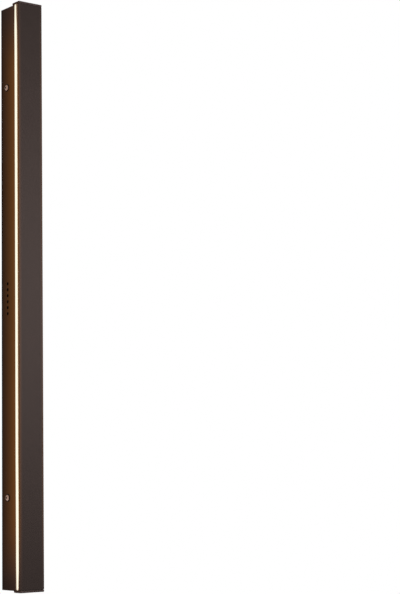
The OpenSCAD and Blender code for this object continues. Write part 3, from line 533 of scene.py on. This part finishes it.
def breakEdges(obj, width, segments, angle=30, clamp=True):
    bevel = obj.modifiers.new("BrokenEdges", "BEVEL")
    bevel.width = width * mm
    bevel.segments = segments
    bevel.limit_method = "ANGLE"
    bevel.angle_limit = math.radians(angle)
    bevel.use_clamp_overlap = clamp


def finishPiece(obj, nodes, body="luminaire", sharpAngle=32, finish=None):
    if finish:
        obj.data.materials.append(finishes[finish])
    obj.data.shade_smooth()
    obj.data.set_sharp_from_angle(angle=math.radians(sharpAngle))
    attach(obj, body)
    if nodes:
        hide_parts(*nodes)


def arcRun(centre, radius, start, end, steps):
    angles = [math.radians(start + (end - start) * i / steps) for i in range(steps + 1)]
    return [(centre[0] + radius * math.cos(a), centre[1] + radius * math.sin(a)) for a in angles]


def roundedRun(corners, steps=6):  # closed run of (x, y) or (x, y, radius) corners
    points = []
    for i, corner in enumerate(corners):
        here = Vector(corner[:2])
        radius = corner[2] if len(corner) > 2 else 0
        if not radius:
            points.append(tuple(here))
            continue
        before = (Vector(corners[i - 1][:2]) - here).normalized()
        after = (Vector(corners[(i + 1) % len(corners)][:2]) - here).normalized()
        half = before.angle(after) / 2
        centre = here + (before + after).normalized() * (radius / math.sin(half))
        first = here + before * (radius / math.tan(half)) - centre
        last = here + after * (radius / math.tan(half)) - centre
        begin, end = (math.atan2(arm.y, arm.x) for arm in (first, last))
        sweep = math.remainder(end - begin, 2 * math.pi)
        points += arcRun(centre, radius, math.degrees(begin), math.degrees(begin + sweep), steps)
    return points


def circleRun(centre, radius, steps):
    return arcRun(centre, radius, 0, 360, steps)[:-1]


def mirrorRun(points):
    return [(-x, y) for x, y in reversed(points)]


def curveObject(name, runs, closed):
    curve = bpy.data.curves.new(name, "CURVE")
    curve.dimensions = "3D"
    for run in runs:
        spline = curve.splines.new("POLY")
        spline.points.add(len(run) - 1)
        for point, place in zip(spline.points, run):
            point.co = (*Vector((*place, 0)[:3]) * mm, 1)
        spline.use_cyclic_u = closed
    return newObject(name, curve)


def extruded(name, runs, halfLength, finish):
    obj = curveObject(name + "Section", runs, True)
    addShaping(obj, barTree, finish, HalfLength=halfLength * mm)
    return obj


turnSides = dict(fine=48, hole=32, screw=24, rivet=20)  # sides of the turned pieces


def ringPlace(angle, radius, height, flats=None):  # flats cut the ring to a hexagon of that width
    if flats:
        fold = (angle + math.pi / 6) % (math.pi / 3) - math.pi / 6
        radius = min(radius, flats / 2 / math.cos(fold))
    return Vector((radius * math.cos(angle), radius * math.sin(angle), height)) * mm


def turnedMesh(name, rings, steps, closed=False):  # each ring is (radius, height) or with flats
    bm = bmesh.new()
    rows = [[bm.verts.new(ringPlace(2 * math.pi * k / steps, *ring)) for k in range(steps if ring[0] else 1)]
        for ring in rings]
    for low, high in list(zip(rows, rows[1:])) + ([(rows[-1], rows[0])] if closed else []):
        for k in range(steps):
            n = k + 1
            corners = (low[k % len(low)], low[n % len(low)], high[n % len(high)], high[k % len(high)])
            bm.faces.new(tuple(dict.fromkeys(corners)))
    bmesh.ops.recalc_face_normals(bm, faces=bm.faces)
    return meshFrom(bm, name)


def panelBlock(name, low, high, axis, side, steps):
    # block between two corners; its outer face along the axis is inset in steps of (width, depth)
    bm = bmesh.new()
    low, high = Vector(low) * mm, Vector(high) * mm
    place = Matrix.LocRotScale((low + high) / 2, None, high - low)
    bmesh.ops.create_cube(bm, size=1.0, matrix=place)
    bm.normal_update()
    bmesh.ops.recalc_face_normals(bm, faces=bm.faces)
    outer = max(bm.faces, key=lambda face: side * face.calc_center_median()[axis])
    for width, depth in steps:
        bmesh.ops.inset_individual(bm, faces=[outer], thickness=width * mm, depth=depth * mm)
    return meshFrom(bm, name)


# the two powder-coated housings

housing = dict(frontPlate=2.2, backPlate=2.0, frontRadius=1.0, backRadius=0.6, slotHalf=4.5, lipRadius=0.25,
    lip=2.0, grooveWidth=2.2, grooveDepth=1.9, grooveRib=1.5, cellX=9.6, chamberX=8.0, ribX=6.0,
    ribHeight=3.0, frontPortX=5.0, backPortX=14.0, portSink=2.2, bossRadius=2.6, boreRadius=1.55,
    rearWall=1.8, rearRadius=0.8, rearFoot=0.1, bossTurn=(48, 222), bossFoot=2.1, bossSteps=18, bendSteps=16,
    boreSteps=24)
webY = jointY + housing["rearWall"]
rearInX = rearHigh[0] - housing["rearWall"]
cellY = (frontLow[1] + housing["frontPlate"], frontHigh[1] - housing["backPlate"])
frontPort = (housing["frontPortX"], cellY[0] + housing["portSink"])
backPort = (housing["backPortX"], cellY[1] - housing["portSink"])
rearPort = (rearInX - housing["bossRadius"], webY + housing["bossRadius"])
grooveOutX = frontHigh[0] - housing["lip"]
vents = dict(count=6, pitch=10.2, middleZ=-9.0, diameter=5.4, bevel=0.4)
sideHole = 5.4
webScrews = dict(  # places in x and z, hole radius, (diameter, length, head radius, head height)
    joining_screws=((0,), (-460, -230, 230, 460), 1.95, (3.5, 6.4, 3.15, 2.1)),
    earth_screw=((0,), (88,), 2.2, (4.0, 7.2, 3.6, 2.4)),
    driver_screws=((0,), (-89, 71), 1.7, (3.0, 8.0, 2.7, 1.8)),
    terminal_fixings=((-4.5, 4.5), (117,), 1.7, (3.0, 19.8, 2.7, 1.8)),
    clamp_screws=((-8.5, 8.5), (150,), 1.7, (3.0, 12.7, 2.7, 1.8)))
gland = dict(  # outlines as (radius, height), the hexagon's as shares of its corner radius
    holeRadius=6.2, bore=2.4, flats=15.0, hexagon=[(0.93, 0.0), (1.0, 0.4), (1.0, 4.5), (0.92, 5.0)],
    threadRadius=6.0, threadRoot=0.905, thread=(-7.3, -0.6, 1.2), neckRadius=5.4, neckHeight=4.0, play=0.05,
    nut=[(7.1, 0.0), (7.4, 0.3), (7.4, 0.8), (7.4, 3.0), (7.4, 5.4), (7.4, 6.7), (7.104, 7.4), (6.142, 8.4),
        (5.18, 9.0)], shoulder=6.0, ribs=18, ribSides=6, ribDepth=0.5, ribZ=(0.7, 7.0), ribInner=6.0)
glandLow, glandHigh = nodeBox("gland_body")
glandZ = (glandLow[2] + glandHigh[2]) / 2


def frontRuns():
    h = housing
    half, outX = frontHigh[0], grooveOutX
    inX = outX - h["grooveWidth"]
    jambX = inX - h["grooveRib"]
    slot, deep = h["slotHalf"], h["slotHalf"] + h["grooveDepth"]
    cellLow, cellHigh = cellY
    lift = math.degrees(math.asin(h["portSink"] / h["bossRadius"]))
    boss = arcRun(backPort, h["bossRadius"], 180 - lift, 360 + lift, h["bossSteps"])
    # the slot's corners from its middle line, below it and above it
    lips = [(half, slot, h["lipRadius"]), (outX, slot), (outX, deep), (inX, deep), (inX, slot), (jambX, slot)]
    outer = [(half, frontLow[1], h["frontRadius"]), *[(x, stripY - y, *r) for x, y, *r in lips],
        (jambX, cellLow), (h["cellX"], cellLow), (h["cellX"], cellHigh), *boss, (jambX, cellHigh),
        *[(x, stripY + y, *r) for x, y, *r in reversed(lips)], (half, frontHigh[1], h["backRadius"])]
    outer = roundedRun(outer + [(-corner[0], *corner[1:]) for corner in reversed(outer)])
    port = arcRun(frontPort, h["bossRadius"], 180 + lift, -lift, h["bossSteps"])
    chamber = [*port, (h["chamberX"], cellLow), (h["chamberX"], cellHigh), (h["ribX"], cellHigh),
        (h["ribX"], cellHigh - h["ribHeight"])]
    bores = [circleRun(centre, h["boreRadius"], h["boreSteps"]) for centre in (frontPort, backPort)]
    return [outer, chamber + mirrorRun(chamber), *bores, *[mirrorRun(run) for run in bores]]


def rearRuns():
    h = housing
    half, foot = rearHigh[0], rearHigh[1]
    outer = roundedRun([(-half, foot, h["rearFoot"]), (-half, jointY, h["rearRadius"]),
        (half, jointY, h["rearRadius"]), (half, foot, h["rearFoot"])])
    boss = arcRun(rearPort, h["bossRadius"], *h["bossTurn"], h["bendSteps"])
    inner = [(rearInX, foot), (rearInX, rearPort[1] + h["bossFoot"]), *boss,
        (rearPort[0] - h["bossFoot"], webY)]
    bore = circleRun(rearPort, h["boreRadius"], h["boreSteps"])
    return [outer + inner + mirrorRun(inner), bore, mirrorRun(bore)]


def makeCutter(radius, reach, bevel=0.0, axis="X"):
    # turned cutter along an axis, with a countersink at each end of the given reach
    over = 1.0  # past the surface that is cut
    end = reach + over
    half = [(0, -end), (radius + (bevel + over if bevel else 0), -end)]
    if bevel:
        half.append((radius, bevel - reach))
    rings = half + [(wide, -height) for wide, height in reversed(half)]
    mesh = turnedMesh("cutter", rings, turnSides["hole"])
    mesh.transform(Matrix.Rotation(math.pi / 2, 4, "Y" if axis == "X" else "X"))
    return newObject("cutter", mesh)


def buildHousings():
    front = settle(extruded("frontHousing", frontRuns(), frontHigh[2], "powderCoat"), "frontHousing")
    finishPiece(front, ["front_housing"])
    rear = extruded("rearHousing", rearRuns(), rearHigh[2], "powderCoat")
    reach, (top, low), wall = rearHigh[0], sideHeights, housing["rearWall"]
    firstVent = vents["middleZ"] - (vents["count"] - 1) / 2 * vents["pitch"]
    rows = [  # cutter, count, first place, step
        (makeCutter(vents["diameter"] / 2, reach, vents["bevel"]), vents["count"], (0, sideLine, firstVent),
            (0, 0, vents["pitch"])),
        (makeCutter(sideHole / 2, reach), 2, (0, sideLine, low), (0, 0, top - low))]
    webHoles = [row[:3] for row in webScrews.values()] + [((0,), (glandZ,), gland["holeRadius"])]
    for places, heights, radius in webHoles:
        cutter = makeCutter(radius, wall / 2, axis="Y")
        step = (places[-1] - places[0], 0, 0)
        rows += [(cutter, len(places), (places[0], webY - wall / 2, z), step) for z in heights]
    for cutter, count, first, step in rows:
        addShaping(rear, holeTree, "powderCoat", Cutter=cutter, Count=count, First=Vector(first) * mm,
            Step=Vector(step) * mm)
    rear = settle(rear, "rearHousing")
    for cutter in {row[0] for row in rows}:
        bpy.data.objects.remove(cutter)
    finishPiece(rear, ["rear_housing"])
    print("housings:", len(front.data.polygons), "and", len(rear.data.polygons), "faces")


buildHousings()


# dark pads behind the vent holes, painted shade so the holes read dark

ventShadePad = dict(thick=2.0, half=(5.4, 31.0), soft=0.5, segments=3, angle=60, steps=[(0.9, 0.0), (0.3, -0.35)])


def buildVentShadePads():
    d = ventShadePad
    for side, name in ((1, "rightVentPad"), (-1, "leftVentPad")):
        inner, outer = sorted((side * (rearInX - d["thick"]), side * rearInX))
        low = (inner, sideLine - d["half"][0], vents["middleZ"] - d["half"][1])
        high = (outer, sideLine + d["half"][0], vents["middleZ"] + d["half"][1])
        obj = newObject(name, panelBlock(name, low, high, 0, side, d["steps"]))
        breakEdges(obj, d["soft"], d["segments"], d["angle"])
        finishPiece(settle(obj, name), [], sharpAngle=40, finish="ventShadeFoam")
    print("vent filter pads made")


buildVentShadePads()


# the two lit strips

strip = dict(play=0.1, bulge=0.7, steps=20)


def buildStrips():
    grooveX = (stripLow[0], grooveOutX - strip["play"])
    foot, stem = (stripHigh[1] - stripLow[1]) / 2, housing["slotHalf"] - strip["play"]
    radius = (stem ** 2 + strip["bulge"] ** 2) / (2 * strip["bulge"])
    lift = math.degrees(math.asin(stem / radius))
    face = arcRun((frontHigh[0] + strip["bulge"] - radius, 0), radius, -lift, lift, strip["steps"])
    run = [(grooveX[0], -foot), (grooveX[1], -foot), (grooveX[1], -stem), *face, (grooveX[1], stem),
        (grooveX[1], foot), (grooveX[0], foot)]
    run = [(x, y + stripY) for x, y in run]
    for side, outline in (("right", run), ("left", mirrorRun(run))):
        name = side + "Strip"
        obj = settle(extruded(name, [outline], stripHigh[2], "litOpal"), name)
        finishPiece(obj, ["diffuser_" + side])
    print("lit strips made")


buildStrips()


# pieces whose CAD shape is right: merged, with broken edges

softEdges = dict(near=0.003, flat=0.6, segments=2, angle=40)
softPieces = [  # finish, slot, edge radius, inset from the outline, nodes
    ("zincPlate", "bracket_steel", 0.25, 0.0, ["upper_bracket", "lower_bracket"]),
    ("capCoat", "housing_black", 0.2, 0.0,
     ["front_cap_top", "front_cap_bottom", "rear_cap_top", "rear_cap_bottom"]),
    ("sealRubber", "seal_rubber", 0.15, 0.6, ["front_gasket_top", "front_gasket_bottom"]),
    ("pressedAluminium", "driver_metal", 0.4, 0.0, ["driver_case"]),
    ("mouldedNylon", "white_plastic", 0.3, 0.0, ["terminal_block"]),
    ("turnedBrass", "brass", 0.08, 0.0, ["terminal_screws"]),
    ("mouldedNylon", "white_plastic", 0.4, 0.0, ["cord_clamp"]),
]


def softCopy(node, name, width):
    bm = bmesh.new()
    bm.from_mesh(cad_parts[node].data)
    bmesh.ops.remove_doubles(bm, verts=bm.verts, dist=softEdges["near"] * mm)
    flat = math.radians(softEdges["flat"])
    bmesh.ops.dissolve_limit(bm, angle_limit=flat, verts=bm.verts, edges=bm.edges)
    obj = newObject(name, meshFrom(bm, name))
    breakEdges(obj, width, softEdges["segments"], softEdges["angle"], clamp=False)
    return settle(obj, name)


def drawIn(obj, inset):
    low, high = (Vector(corner) for corner in (obj.bound_box[0], obj.bound_box[6]))
    middle, size = (low + high) / 2, high - low
    shares = [1 - 2 * inset * mm / size[axis] for axis in (0, 1)]
    obj.data.transform(Matrix.Diagonal((*shares, 1, 1)))
    obj.data.transform(Matrix.Translation([middle[axis] * (1 - shares[axis]) for axis in (0, 1)] + [0]))


def buildSoftPieces():
    for finish, slotName, width, inset, nodes in softPieces:
        for node in nodes:
            obj = softCopy(node, pieceName(node), width)
            if inset:
                drawIn(obj, inset)
            body = "wall_brackets" if "bracket" in node else "luminaire"
            finishPiece(obj, [node], body, softEdges["angle"], finish)
    print("groups of pieces with broken edges:", len(softPieces))


buildSoftPieces()


# screws, nuts and washers, seated by a geometry tree

turns = dict(right=(0, 90, 0), left=(0, -90, 0), back=(-90, 0, 0), up=(0, 0, 0), down=(180, 0, 0))


def seatRow(name, mesh, seats, finish, nodes):
    points = bpy.data.meshes.new(name + "Seats")
    points.from_pydata([Vector(place) * mm for place, _ in seats], [], [])
    turn = points.attributes.new("turn", "FLOAT_VECTOR", "POINT")
    for i, (_, facing) in enumerate(seats):
        turn.data[i].vector = [math.radians(a) for a in turns[facing]]
    piece = newObject(name + "Piece", mesh)
    base = newObject(name + "Base", points)
    addShaping(base, seatTree, finish, Piece=piece)
    obj = settle(base, name)
    bpy.data.objects.remove(piece)
    finishPiece(obj, nodes)


def threadRings(radius, start, end, pitch, root=0.9):  # zigzag rings from height start up to end
    count = 2 * max(int((end - start) / pitch), 1)
    step = (end - start) / count
    return [(radius * (1 if i % 2 else root), start + step * i) for i in range(count + 1)]


sideScrew = dict(  # outlines as (radius, height) from the seat or from the socket's floor
    shank=[(0, -10.6), (2.0, -10.6)], threadRadius=2.5, thread=(-10.2, -2.4, 0.8),
    neck=[(2.42, -2.2), (2.42, 0)], headRadius=4.75, edge=0.12, rim=0.5, height=2.7, domeSteps=8,
    socket=3.4, socketWall=0.16, floor=0.945, drillPoint=[(1.2, -0.1), (0, -0.35)])
sideWasher = dict(  # the bore by radius and height, the rim by inset and height
    bore=[(2.6, 0.15), (2.8, 0.0)], rim=[(0.3, 0.0), (0.08, 0.1), (0.0, 0.35)])
sideNut = dict(flats=8.0, height=4.0, bore=[(2.56, 0.3), (2.8, 0.0)],
    corner=[(0.49, 0.0), (0.56, 0.32), (0.6, 0.7)])  # share of the flats, height


def buttonRings():
    s = sideScrew
    head, edge, steps = s["headRadius"], s["edge"], s["domeSteps"]
    dome = s["height"] - s["rim"]
    radius = (head ** 2 + dome ** 2) / (2 * dome)
    lip = s["socket"] / 2 / math.cos(math.pi / 6) + s["socketWall"]
    reaches = [head + (lip - head) * i / steps for i in range(1, steps + 1)]
    crown = [(r, s["height"] - radius + math.sqrt(radius ** 2 - r ** 2)) for r in reaches]
    return [*s["shank"], *threadRings(s["threadRadius"], *s["thread"]), *s["neck"], (head - edge, 0),
        (head, edge), (head, s["rim"]), *crown, (lip, crown[-1][1] - edge, s["socket"]),
        (lip, s["floor"], s["socket"]), *[(r, s["floor"] + z) for r, z in s["drillPoint"]]]


def bothEnds(rings, height):  # closes a lower half with its mirror image
    return rings + [(r, height - z, *flats) for r, z, *flats in reversed(rings)]


def buildSideScrews():
    washer = sideWasher["bore"] + [(washerRadius - inset, z) for inset, z in sideWasher["rim"]]
    flats, height = sideNut["flats"], sideNut["height"]
    nut = sideNut["bore"] + [(flats * share, z, flats) for share, z in sideNut["corner"]]
    inX, outX = nodeBox("side_nuts")[1][0] - height, rearHigh[0]
    for node, rings, x, finish, slotName in (
            ("side_screws", buttonRings(), headX, "stainlessPaintedWarmGlow", "screw_steel"),
            ("side_washers", bothEnds(washer, headX - outX), outX, "sealRubber", "seal_rubber"),
            ("side_nuts", bothEnds(nut, height), inX, "zincPlate", "screw_steel")):
        mesh = turnedMesh(node, rings, turnSides["fine"], rings[0][0] > 0)
        seats = [((side * x, sideLine, z), facing)
            for side, facing in ((1, "right"), (-1, "left")) for z in sideHeights]
        seatRow(pieceName(node), mesh, seats, finish, [node])


screwShapes = dict(  # shares of the diameter and of the head's radius and height
    pan=dict(neck=0.0, tip=0.32, pitch=0.22, mouth=(0.36, 1.0, 0.56), floor=(0.34, 0.5, 0.54), dip=0.4,
        head=[(0.96, 0.0), (1.0, 0.06), (1.0, 0.4), (0.95, 0.7), (0.82, 0.92), (0.66, 1.0)]),
    sunk=dict(neck=-1.0, tip=0.3, pitch=0.2, mouth=(0.34, 0.0, 0.54), floor=(0.33, -0.6, 0.52), dip=-0.72,
        head=[(0.98, -0.0727), (1.0, -0.0303), (0.97, 0.0)]))
screwThread = dict(foot=0.15, gap=0.3)
socketEdge = 0.05
capScrew = (3.0, 12.0, 2.79, 1.65)  # diameter, length, head radius, head height


def screwMesh(name, shape, diameter, length, headRadius, headHeight):
    s, d = screwShapes[shape], diameter
    neck = headHeight * s["neck"]
    start, end = d * screwThread["foot"] - length, neck - screwThread["gap"]
    (mouth, mouthZ, flats), (floor, floorZ, lowFlats) = s["mouth"], s["floor"]
    rings = [(0, -length), (d * s["tip"], -length), *threadRings(d / 2, start, end, d * s["pitch"]),
        (d / 2, neck), *[(headRadius * share, headHeight * z) for share, z in s["head"]],
        (d * mouth, headHeight * mouthZ), (d * mouth, headHeight * mouthZ - socketEdge, d * flats),
        (d * floor, headHeight * floorZ, d * lowFlats), (0, headHeight * s["dip"])]
    return turnedMesh(name, rings, turnSides["screw"])


def seatScrews(name, shape, sizes, seats, node):
    seatRow(name, screwMesh(name, shape, *sizes), seats, "stainless", [node])


def buildSmallScrews():
    for node, (places, heights, _, sizes) in webScrews.items():
        seatY = nodeBox(node)[1][1] - sizes[-1]
        seats = [((x, seatY, z), "back") for x in places for z in heights]
        name = "blockScrews" if node == "terminal_fixings" else pieceName(node)
        seatScrews(name, "pan", sizes, seats, node)
    for node, ports in (("front_cap_screws", (frontPort, backPort)), ("rear_cap_screws", (rearPort,))):
        height = nodeBox(node)[1][2]
        seats = [((x * side, y, height * end), "up" if end > 0 else "down")
            for end in (1, -1) for side in (1, -1) for x, y in ports]
        seatScrews(pieceName(node), "sunk", capScrew, seats, node)


buildSideScrews()
buildSmallScrews()
print("screws, nuts and washers seated")


# light chips inside the channels

chips = dict(count=48, tall=2.8, steps=[(0.35, 0.0), (0.15, -0.2)])


def buildChips():
    low, high = nodeBox("led_chips_right")
    thick, wide, tall = high[0] - low[0], high[1] - low[1], chips["tall"]
    corner = (tall / 2, wide / 2, thick)
    mesh = panelBlock("chip", (-corner[0], -corner[1], 0), corner, 2, 1, chips["steps"])
    pitch = (high[2] - low[2] - tall) / (chips["count"] - 1)
    heights = [low[2] + tall / 2 + i * pitch for i in range(chips["count"])]
    for side, facing in ((1, "right"), (-1, "left")):
        seats = [((side * low[0], stripY, z), facing) for z in heights]
        seatRow(facing + "Chips", mesh.copy(), seats, "chipPhosphor", ["led_chips_" + facing])
    print("light chips seated:", 2 * chips["count"])


buildChips()


# driver lid with a pressed panel and rivets

lid = dict(steps=[(3.2, 0.0), (0.5, -0.5)], soft=0.35, segments=3, rivetRadius=1.3, rivetRise=0.6,
    shank=(0.65, -0.4), rivetInset=1.8, rivetZ=(-80.0, -46.0, -9.0, 28.0, 62.0))
rivetShape = [(1.0, 0.0), (0.93, 0.45), (0.7, 0.8), (0.35, 0.97), (0.0, 1.0)]  # radius and rise shares


def buildLid():
    low, high = nodeBox("driver_lid")
    obj = newObject("driverLid", panelBlock("driverLid", low, high, 1, 1, lid["steps"]))
    breakEdges(obj, lid["soft"], lid["segments"])
    obj = settle(obj, "driverLid")
    finishPiece(obj, ["driver_lid"], sharpAngle=40, finish="pressedAluminium")
    (wide, foot), radius, rise = lid["shank"], lid["rivetRadius"], lid["rivetRise"]
    rings = [(0, foot), (wide, foot), (wide, 0), *[(radius * r, rise * z) for r, z in rivetShape]]
    seats = [((x, high[1], z), "back")
        for x in (low[0] + lid["rivetInset"], high[0] - lid["rivetInset"]) for z in lid["rivetZ"]]
    mesh = turnedMesh("lidRivet", rings, turnSides["rivet"])
    seatRow("lidRivets", mesh, seats, "pressedAluminium", [])


buildLid()


# leads and the cable, on the routes of the CAD source

coreRun = [(9, -33, 112), (9, -33, 106), (9, -33, 97.5), (6, -29, 82.8), (5, -28, 72), (5, -28, 62)]
routes = dict(  # finish, slot, radius, route
    live_lead=("brownSheath", "lead_brown", 1.1, [(-x, y, z) for x, y, z in coreRun]),
    neutral_lead=("blueSheath", "lead_blue", 1.1, coreRun),
    earth_lead=("earthSheath", "lead_green", 1.1, [
        (0, -33, 112), (0, -33, 107), (0, -35.25, 103.05), (0, -37.5, 98.1), (0, -37.5, 95.1)]),
    led_cable=("cableSheath", "cable_black", 2.2, [
        (0, -28, -80), (0, -28, -89), (0, -24.745, -104.5), (0, -14.98, -124.6), (0, -7.385, -142),
        (0, -9.837, -152.563), (0, -12.915, -157.894), (0, -18.7, -160), (0, -26.2, -160), (0, -39.2, -160),
        (0, -47.5, -160)]))
tube = dict(steps=8, sides=20)


def smoothRoute(points, steps):
    knots = [Vector(p) for p in points]
    run = []
    for i in range(len(knots) - 1):
        a, b, c, d = (knots[min(max(i + k, 0), len(knots) - 1)] for k in (-1, 0, 1, 2))
        for k in range(steps):
            t = k / steps
            bend = (2 * a - 5 * b + 4 * c - d) * t * t + (3 * b - a - 3 * c + d) * t ** 3
            run.append(0.5 * (2 * b + (c - a) * t + bend))
    return run + [knots[-1]]


def buildLeads():
    for node, (finish, slotName, radius, route) in routes.items():
        obj = curveObject(node + "Route", [smoothRoute(route, tube["steps"])], False)
        addShaping(obj, tubeTree, finish, Radius=radius * mm, Sides=tube["sides"])
        finishPiece(settle(obj, pieceName(node)), [node], sharpAngle=50)
    print("leads and cable drawn:", len(routes))


buildLeads()


# cable gland with ribbed nut, and the earth lug

def buildGland():
    g = gland
    hexRadius, hexTop = g["flats"] / 2 / math.cos(math.pi / 6), g["hexagon"][-1][1]
    neckTop = hexTop + g["neckHeight"]
    rings = [(g["bore"], g["thread"][0]), *threadRings(g["threadRadius"], *g["thread"], g["threadRoot"]),
        (g["neckRadius"], 0), *[(hexRadius * share, z, g["flats"]) for share, z in g["hexagon"]],
        (g["neckRadius"], hexTop), (g["neckRadius"], neckTop), (g["bore"], neckTop)]
    seats = [((0, webY, glandZ), "back")]
    mesh = turnedMesh("glandBody", rings, turnSides["fine"], True)
    seatRow("glandBody", mesh, seats, "glandNylon", ["gland_body"])
    inner, top = g["neckRadius"] + g["play"], g["nut"][-1][1]
    rings = [(inner, 0), *g["nut"], (g["bore"], top), (g["bore"], g["shoulder"]), (inner, g["shoulder"])]
    obj = newObject("glandNut", turnedMesh("glandNut", rings, g["ribs"] * g["ribSides"], True))
    low, high = g["ribZ"]
    addShaping(obj, gripTree, "glandNylon", Ribs=g["ribs"], Depth=g["ribDepth"] * mm, Low=low * mm,
        High=high * mm, Inner=g["ribInner"] * mm)
    obj = settle(obj, "glandNut")
    place = Matrix.Translation(Vector((0, webY + hexTop, glandZ)) * mm)
    obj.data.transform(place @ Matrix.Rotation(-math.pi / 2, 4, "X"))
    finishPiece(obj, ["gland_nut"])


lug = dict(z=88.0, radius=4.0, thick=0.8, hole=2.2, tongue=(1.7, 5.1), barrelFoot=92.1, lift=1.7,
    barrel=[(1.15, 0.0), (1.5, 0.0), (1.7, 0.2), (1.7, 2.2), (1.45, 2.8), (1.45, 3.8), (1.7, 4.4), (1.7, 5.8),
        (1.5, 6.0), (1.15, 6.0)])


def buildLug():
    u = lug
    sides = turnSides["hole"]
    half, tip = u["tongue"]  # the tongue towards the barrel
    bm = bmesh.new()
    outer = [(x, tip if z > 0 and abs(x) < half else z) for x, z in circleRun((0, 0), u["radius"], sides)]
    runs = (outer, circleRun((0, 0), u["hole"], sides))
    layers = [[bm.verts.new(Vector((x, y, u["z"] + z)) * mm) for x, z in run]
        for y in (webY, webY + u["thick"]) for run in runs]
    lowOut, lowIn, highOut, highIn = layers
    for k in range(sides):
        n = (k + 1) % sides
        for first, second in ((lowOut, lowIn), (highIn, highOut), (highOut, lowOut), (lowIn, highIn)):
            bm.faces.new((first[k], first[n], second[n], second[k]))
    bmesh.ops.recalc_face_normals(bm, faces=bm.faces)
    rings = [(r, u["barrelFoot"] + z) for r, z in u["barrel"]]
    barrel = turnedMesh("lugBarrel", rings, turnSides["screw"], True)
    barrel.transform(Matrix.Translation((0, (webY + u["lift"]) * mm, 0)))
    bm.from_mesh(barrel)
    finishPiece(newObject("earthLug", meshFrom(bm, "earthLug")), [], finish="stainless")


buildGland()
buildLug()
print("gland and earth lug made")


# carried-over CAD nodes: finish only

carried = dict(
    led_board_left=("whiteMask", "board_white"), led_board_right=("whiteMask", "board_white"),
    board_screws=("stainless", "screw_steel"), driver_board=("greenMask", "board_green"),
    driver_transformer=("coilTape", "coil_yellow"), driver_capacitors=("canSleeve", "can_blue"),
    led_leads=("redSheath", "lead_red"), gland_seal=("sealRubber", "seal_rubber"))
for node, (finish, slotName) in carried.items():
    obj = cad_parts[node]
    obj.data.materials.clear()
    obj.data.materials.append(finishes[finish])
print("carried-over nodes finished:", len(carried))


# floor, world, lamps and camera, in metres

studio = dict(fill=0.06, gloss=0.3, floorZ=-1.35, floorRadius=5.0, floorColour=(0.85, 0.85, 0.85, 1),
    floorSides=96, floorGloss=0.24, floorGlow=(0.88, 1.0), glowFrom=(0.5, 4.5))


def rayShares(tree, cameraShare, glossShare, base):
    path = wiresOf(tree.nodes.new("ShaderNodeLightPath"))
    seen = calc("MAXIMUM", path["Is Camera Ray"], path["Is Transmission Ray"])
    level = calc("MAXIMUM", seen * cameraShare, path["Is Glossy Ray"] * glossShare)
    return calc("MAXIMUM", level, base)


def buildStudio():
    s = studio
    world = bpy.data.worlds.new("paleStudio")
    bpy.context.scene.world = world
    world.use_nodes = True
    tree = world.node_tree
    strength = rayShares(tree, 1.0, s["gloss"], s["fill"])
    plugAll(tree.nodes["Background"].inputs, {"Color": (1, 1, 1, 1), "Strength": strength})
    material, _, coords = newMaterial("paleFloor")
    tree = coords.tree
    tree.nodes.remove(tree.nodes["Principled BSDF"])
    diffuse = addNode(tree, "ShaderNodeBsdfDiffuse", {"Color": s["floorColour"]})
    reach = vectorCalc("LENGTH", coords, output="Value")
    seen = reach.fade(*s["glowFrom"], *s["floorGlow"])
    glow = addNode(tree, "ShaderNodeEmission", {"Strength": rayShares(tree, seen, s["floorGloss"], 0.0)})
    lit = addNode(tree, "ShaderNodeAddShader", {0: diffuse, 1: glow})
    below = addNode(tree, "ShaderNodeNewGeometry", output="Backfacing")
    clear = addNode(tree, "ShaderNodeBsdfTransparent")
    mixed = addNode(tree, "ShaderNodeMixShader", {0: below, 1: lit, 2: clear})
    plugAll(tree.nodes["Material Output"].inputs, {"Surface": mixed})
    bm = bmesh.new()
    bmesh.ops.create_circle(bm, cap_ends=True, radius=s["floorRadius"], segments=s["floorSides"])
    floor = newObject("floor", meshFrom(bm, "floor"))
    floor.data.materials.append(material)
    floor.location = (0, 0, s["floorZ"])


lamps = dict(  # place, target, side length, power
    keyLamp=((0.13, -0.74, 0.03), (0, -0.06, 0.03), 0.5, 5.9),
    backLamp=((1.3, 1.5, 0.3), (0, 0, 0), 2.0, 18.0),
    topLamp=((0.3, -0.25, 1.6), (0, -0.03, 0.5), 0.5, 4.0))


def buildLamps():
    for name, (place, target, size, power) in lamps.items():
        data = bpy.data.lights.new(name, "AREA")
        data.shape = "SQUARE"
        data.size, data.energy = size, power
        lamp = newObject(name, data)
        lamp.location = place
        lamp.rotation_euler = (Vector(target) - Vector(place)).to_track_quat("-Z", "Y").to_euler()
        lamp.visible_camera = False


photoView = dict(place=(-1.4791, -2.3876, -0.3195), yaw=38.361, pitch=6.372, roll=-0.871, focal=1638.8,
    pictureHeight=594, sensor=36)


def buildCamera():
    v = photoView
    yaw, pitch, roll = (math.radians(v[key]) for key in ("yaw", "pitch", "roll"))
    turn = Matrix.Rotation(-yaw, 4, "Z") @ Matrix.Rotation(math.pi / 2 + pitch, 4, "X")
    data = bpy.data.cameras.new("photoCamera")
    data.sensor_width = v["sensor"]
    data.lens = v["sensor"] * v["focal"] / v["pictureHeight"]
    camera = newObject("photoCamera", data)
    camera.matrix_world = Matrix.Translation(v["place"]) @ turn @ Matrix.Rotation(roll, 4, "Z")
    bpy.context.scene.camera = camera


buildStudio()
buildLamps()
buildCamera()
bpy.context.scene.view_settings.view_transform = "Standard"
print("studio, lamps and camera set")
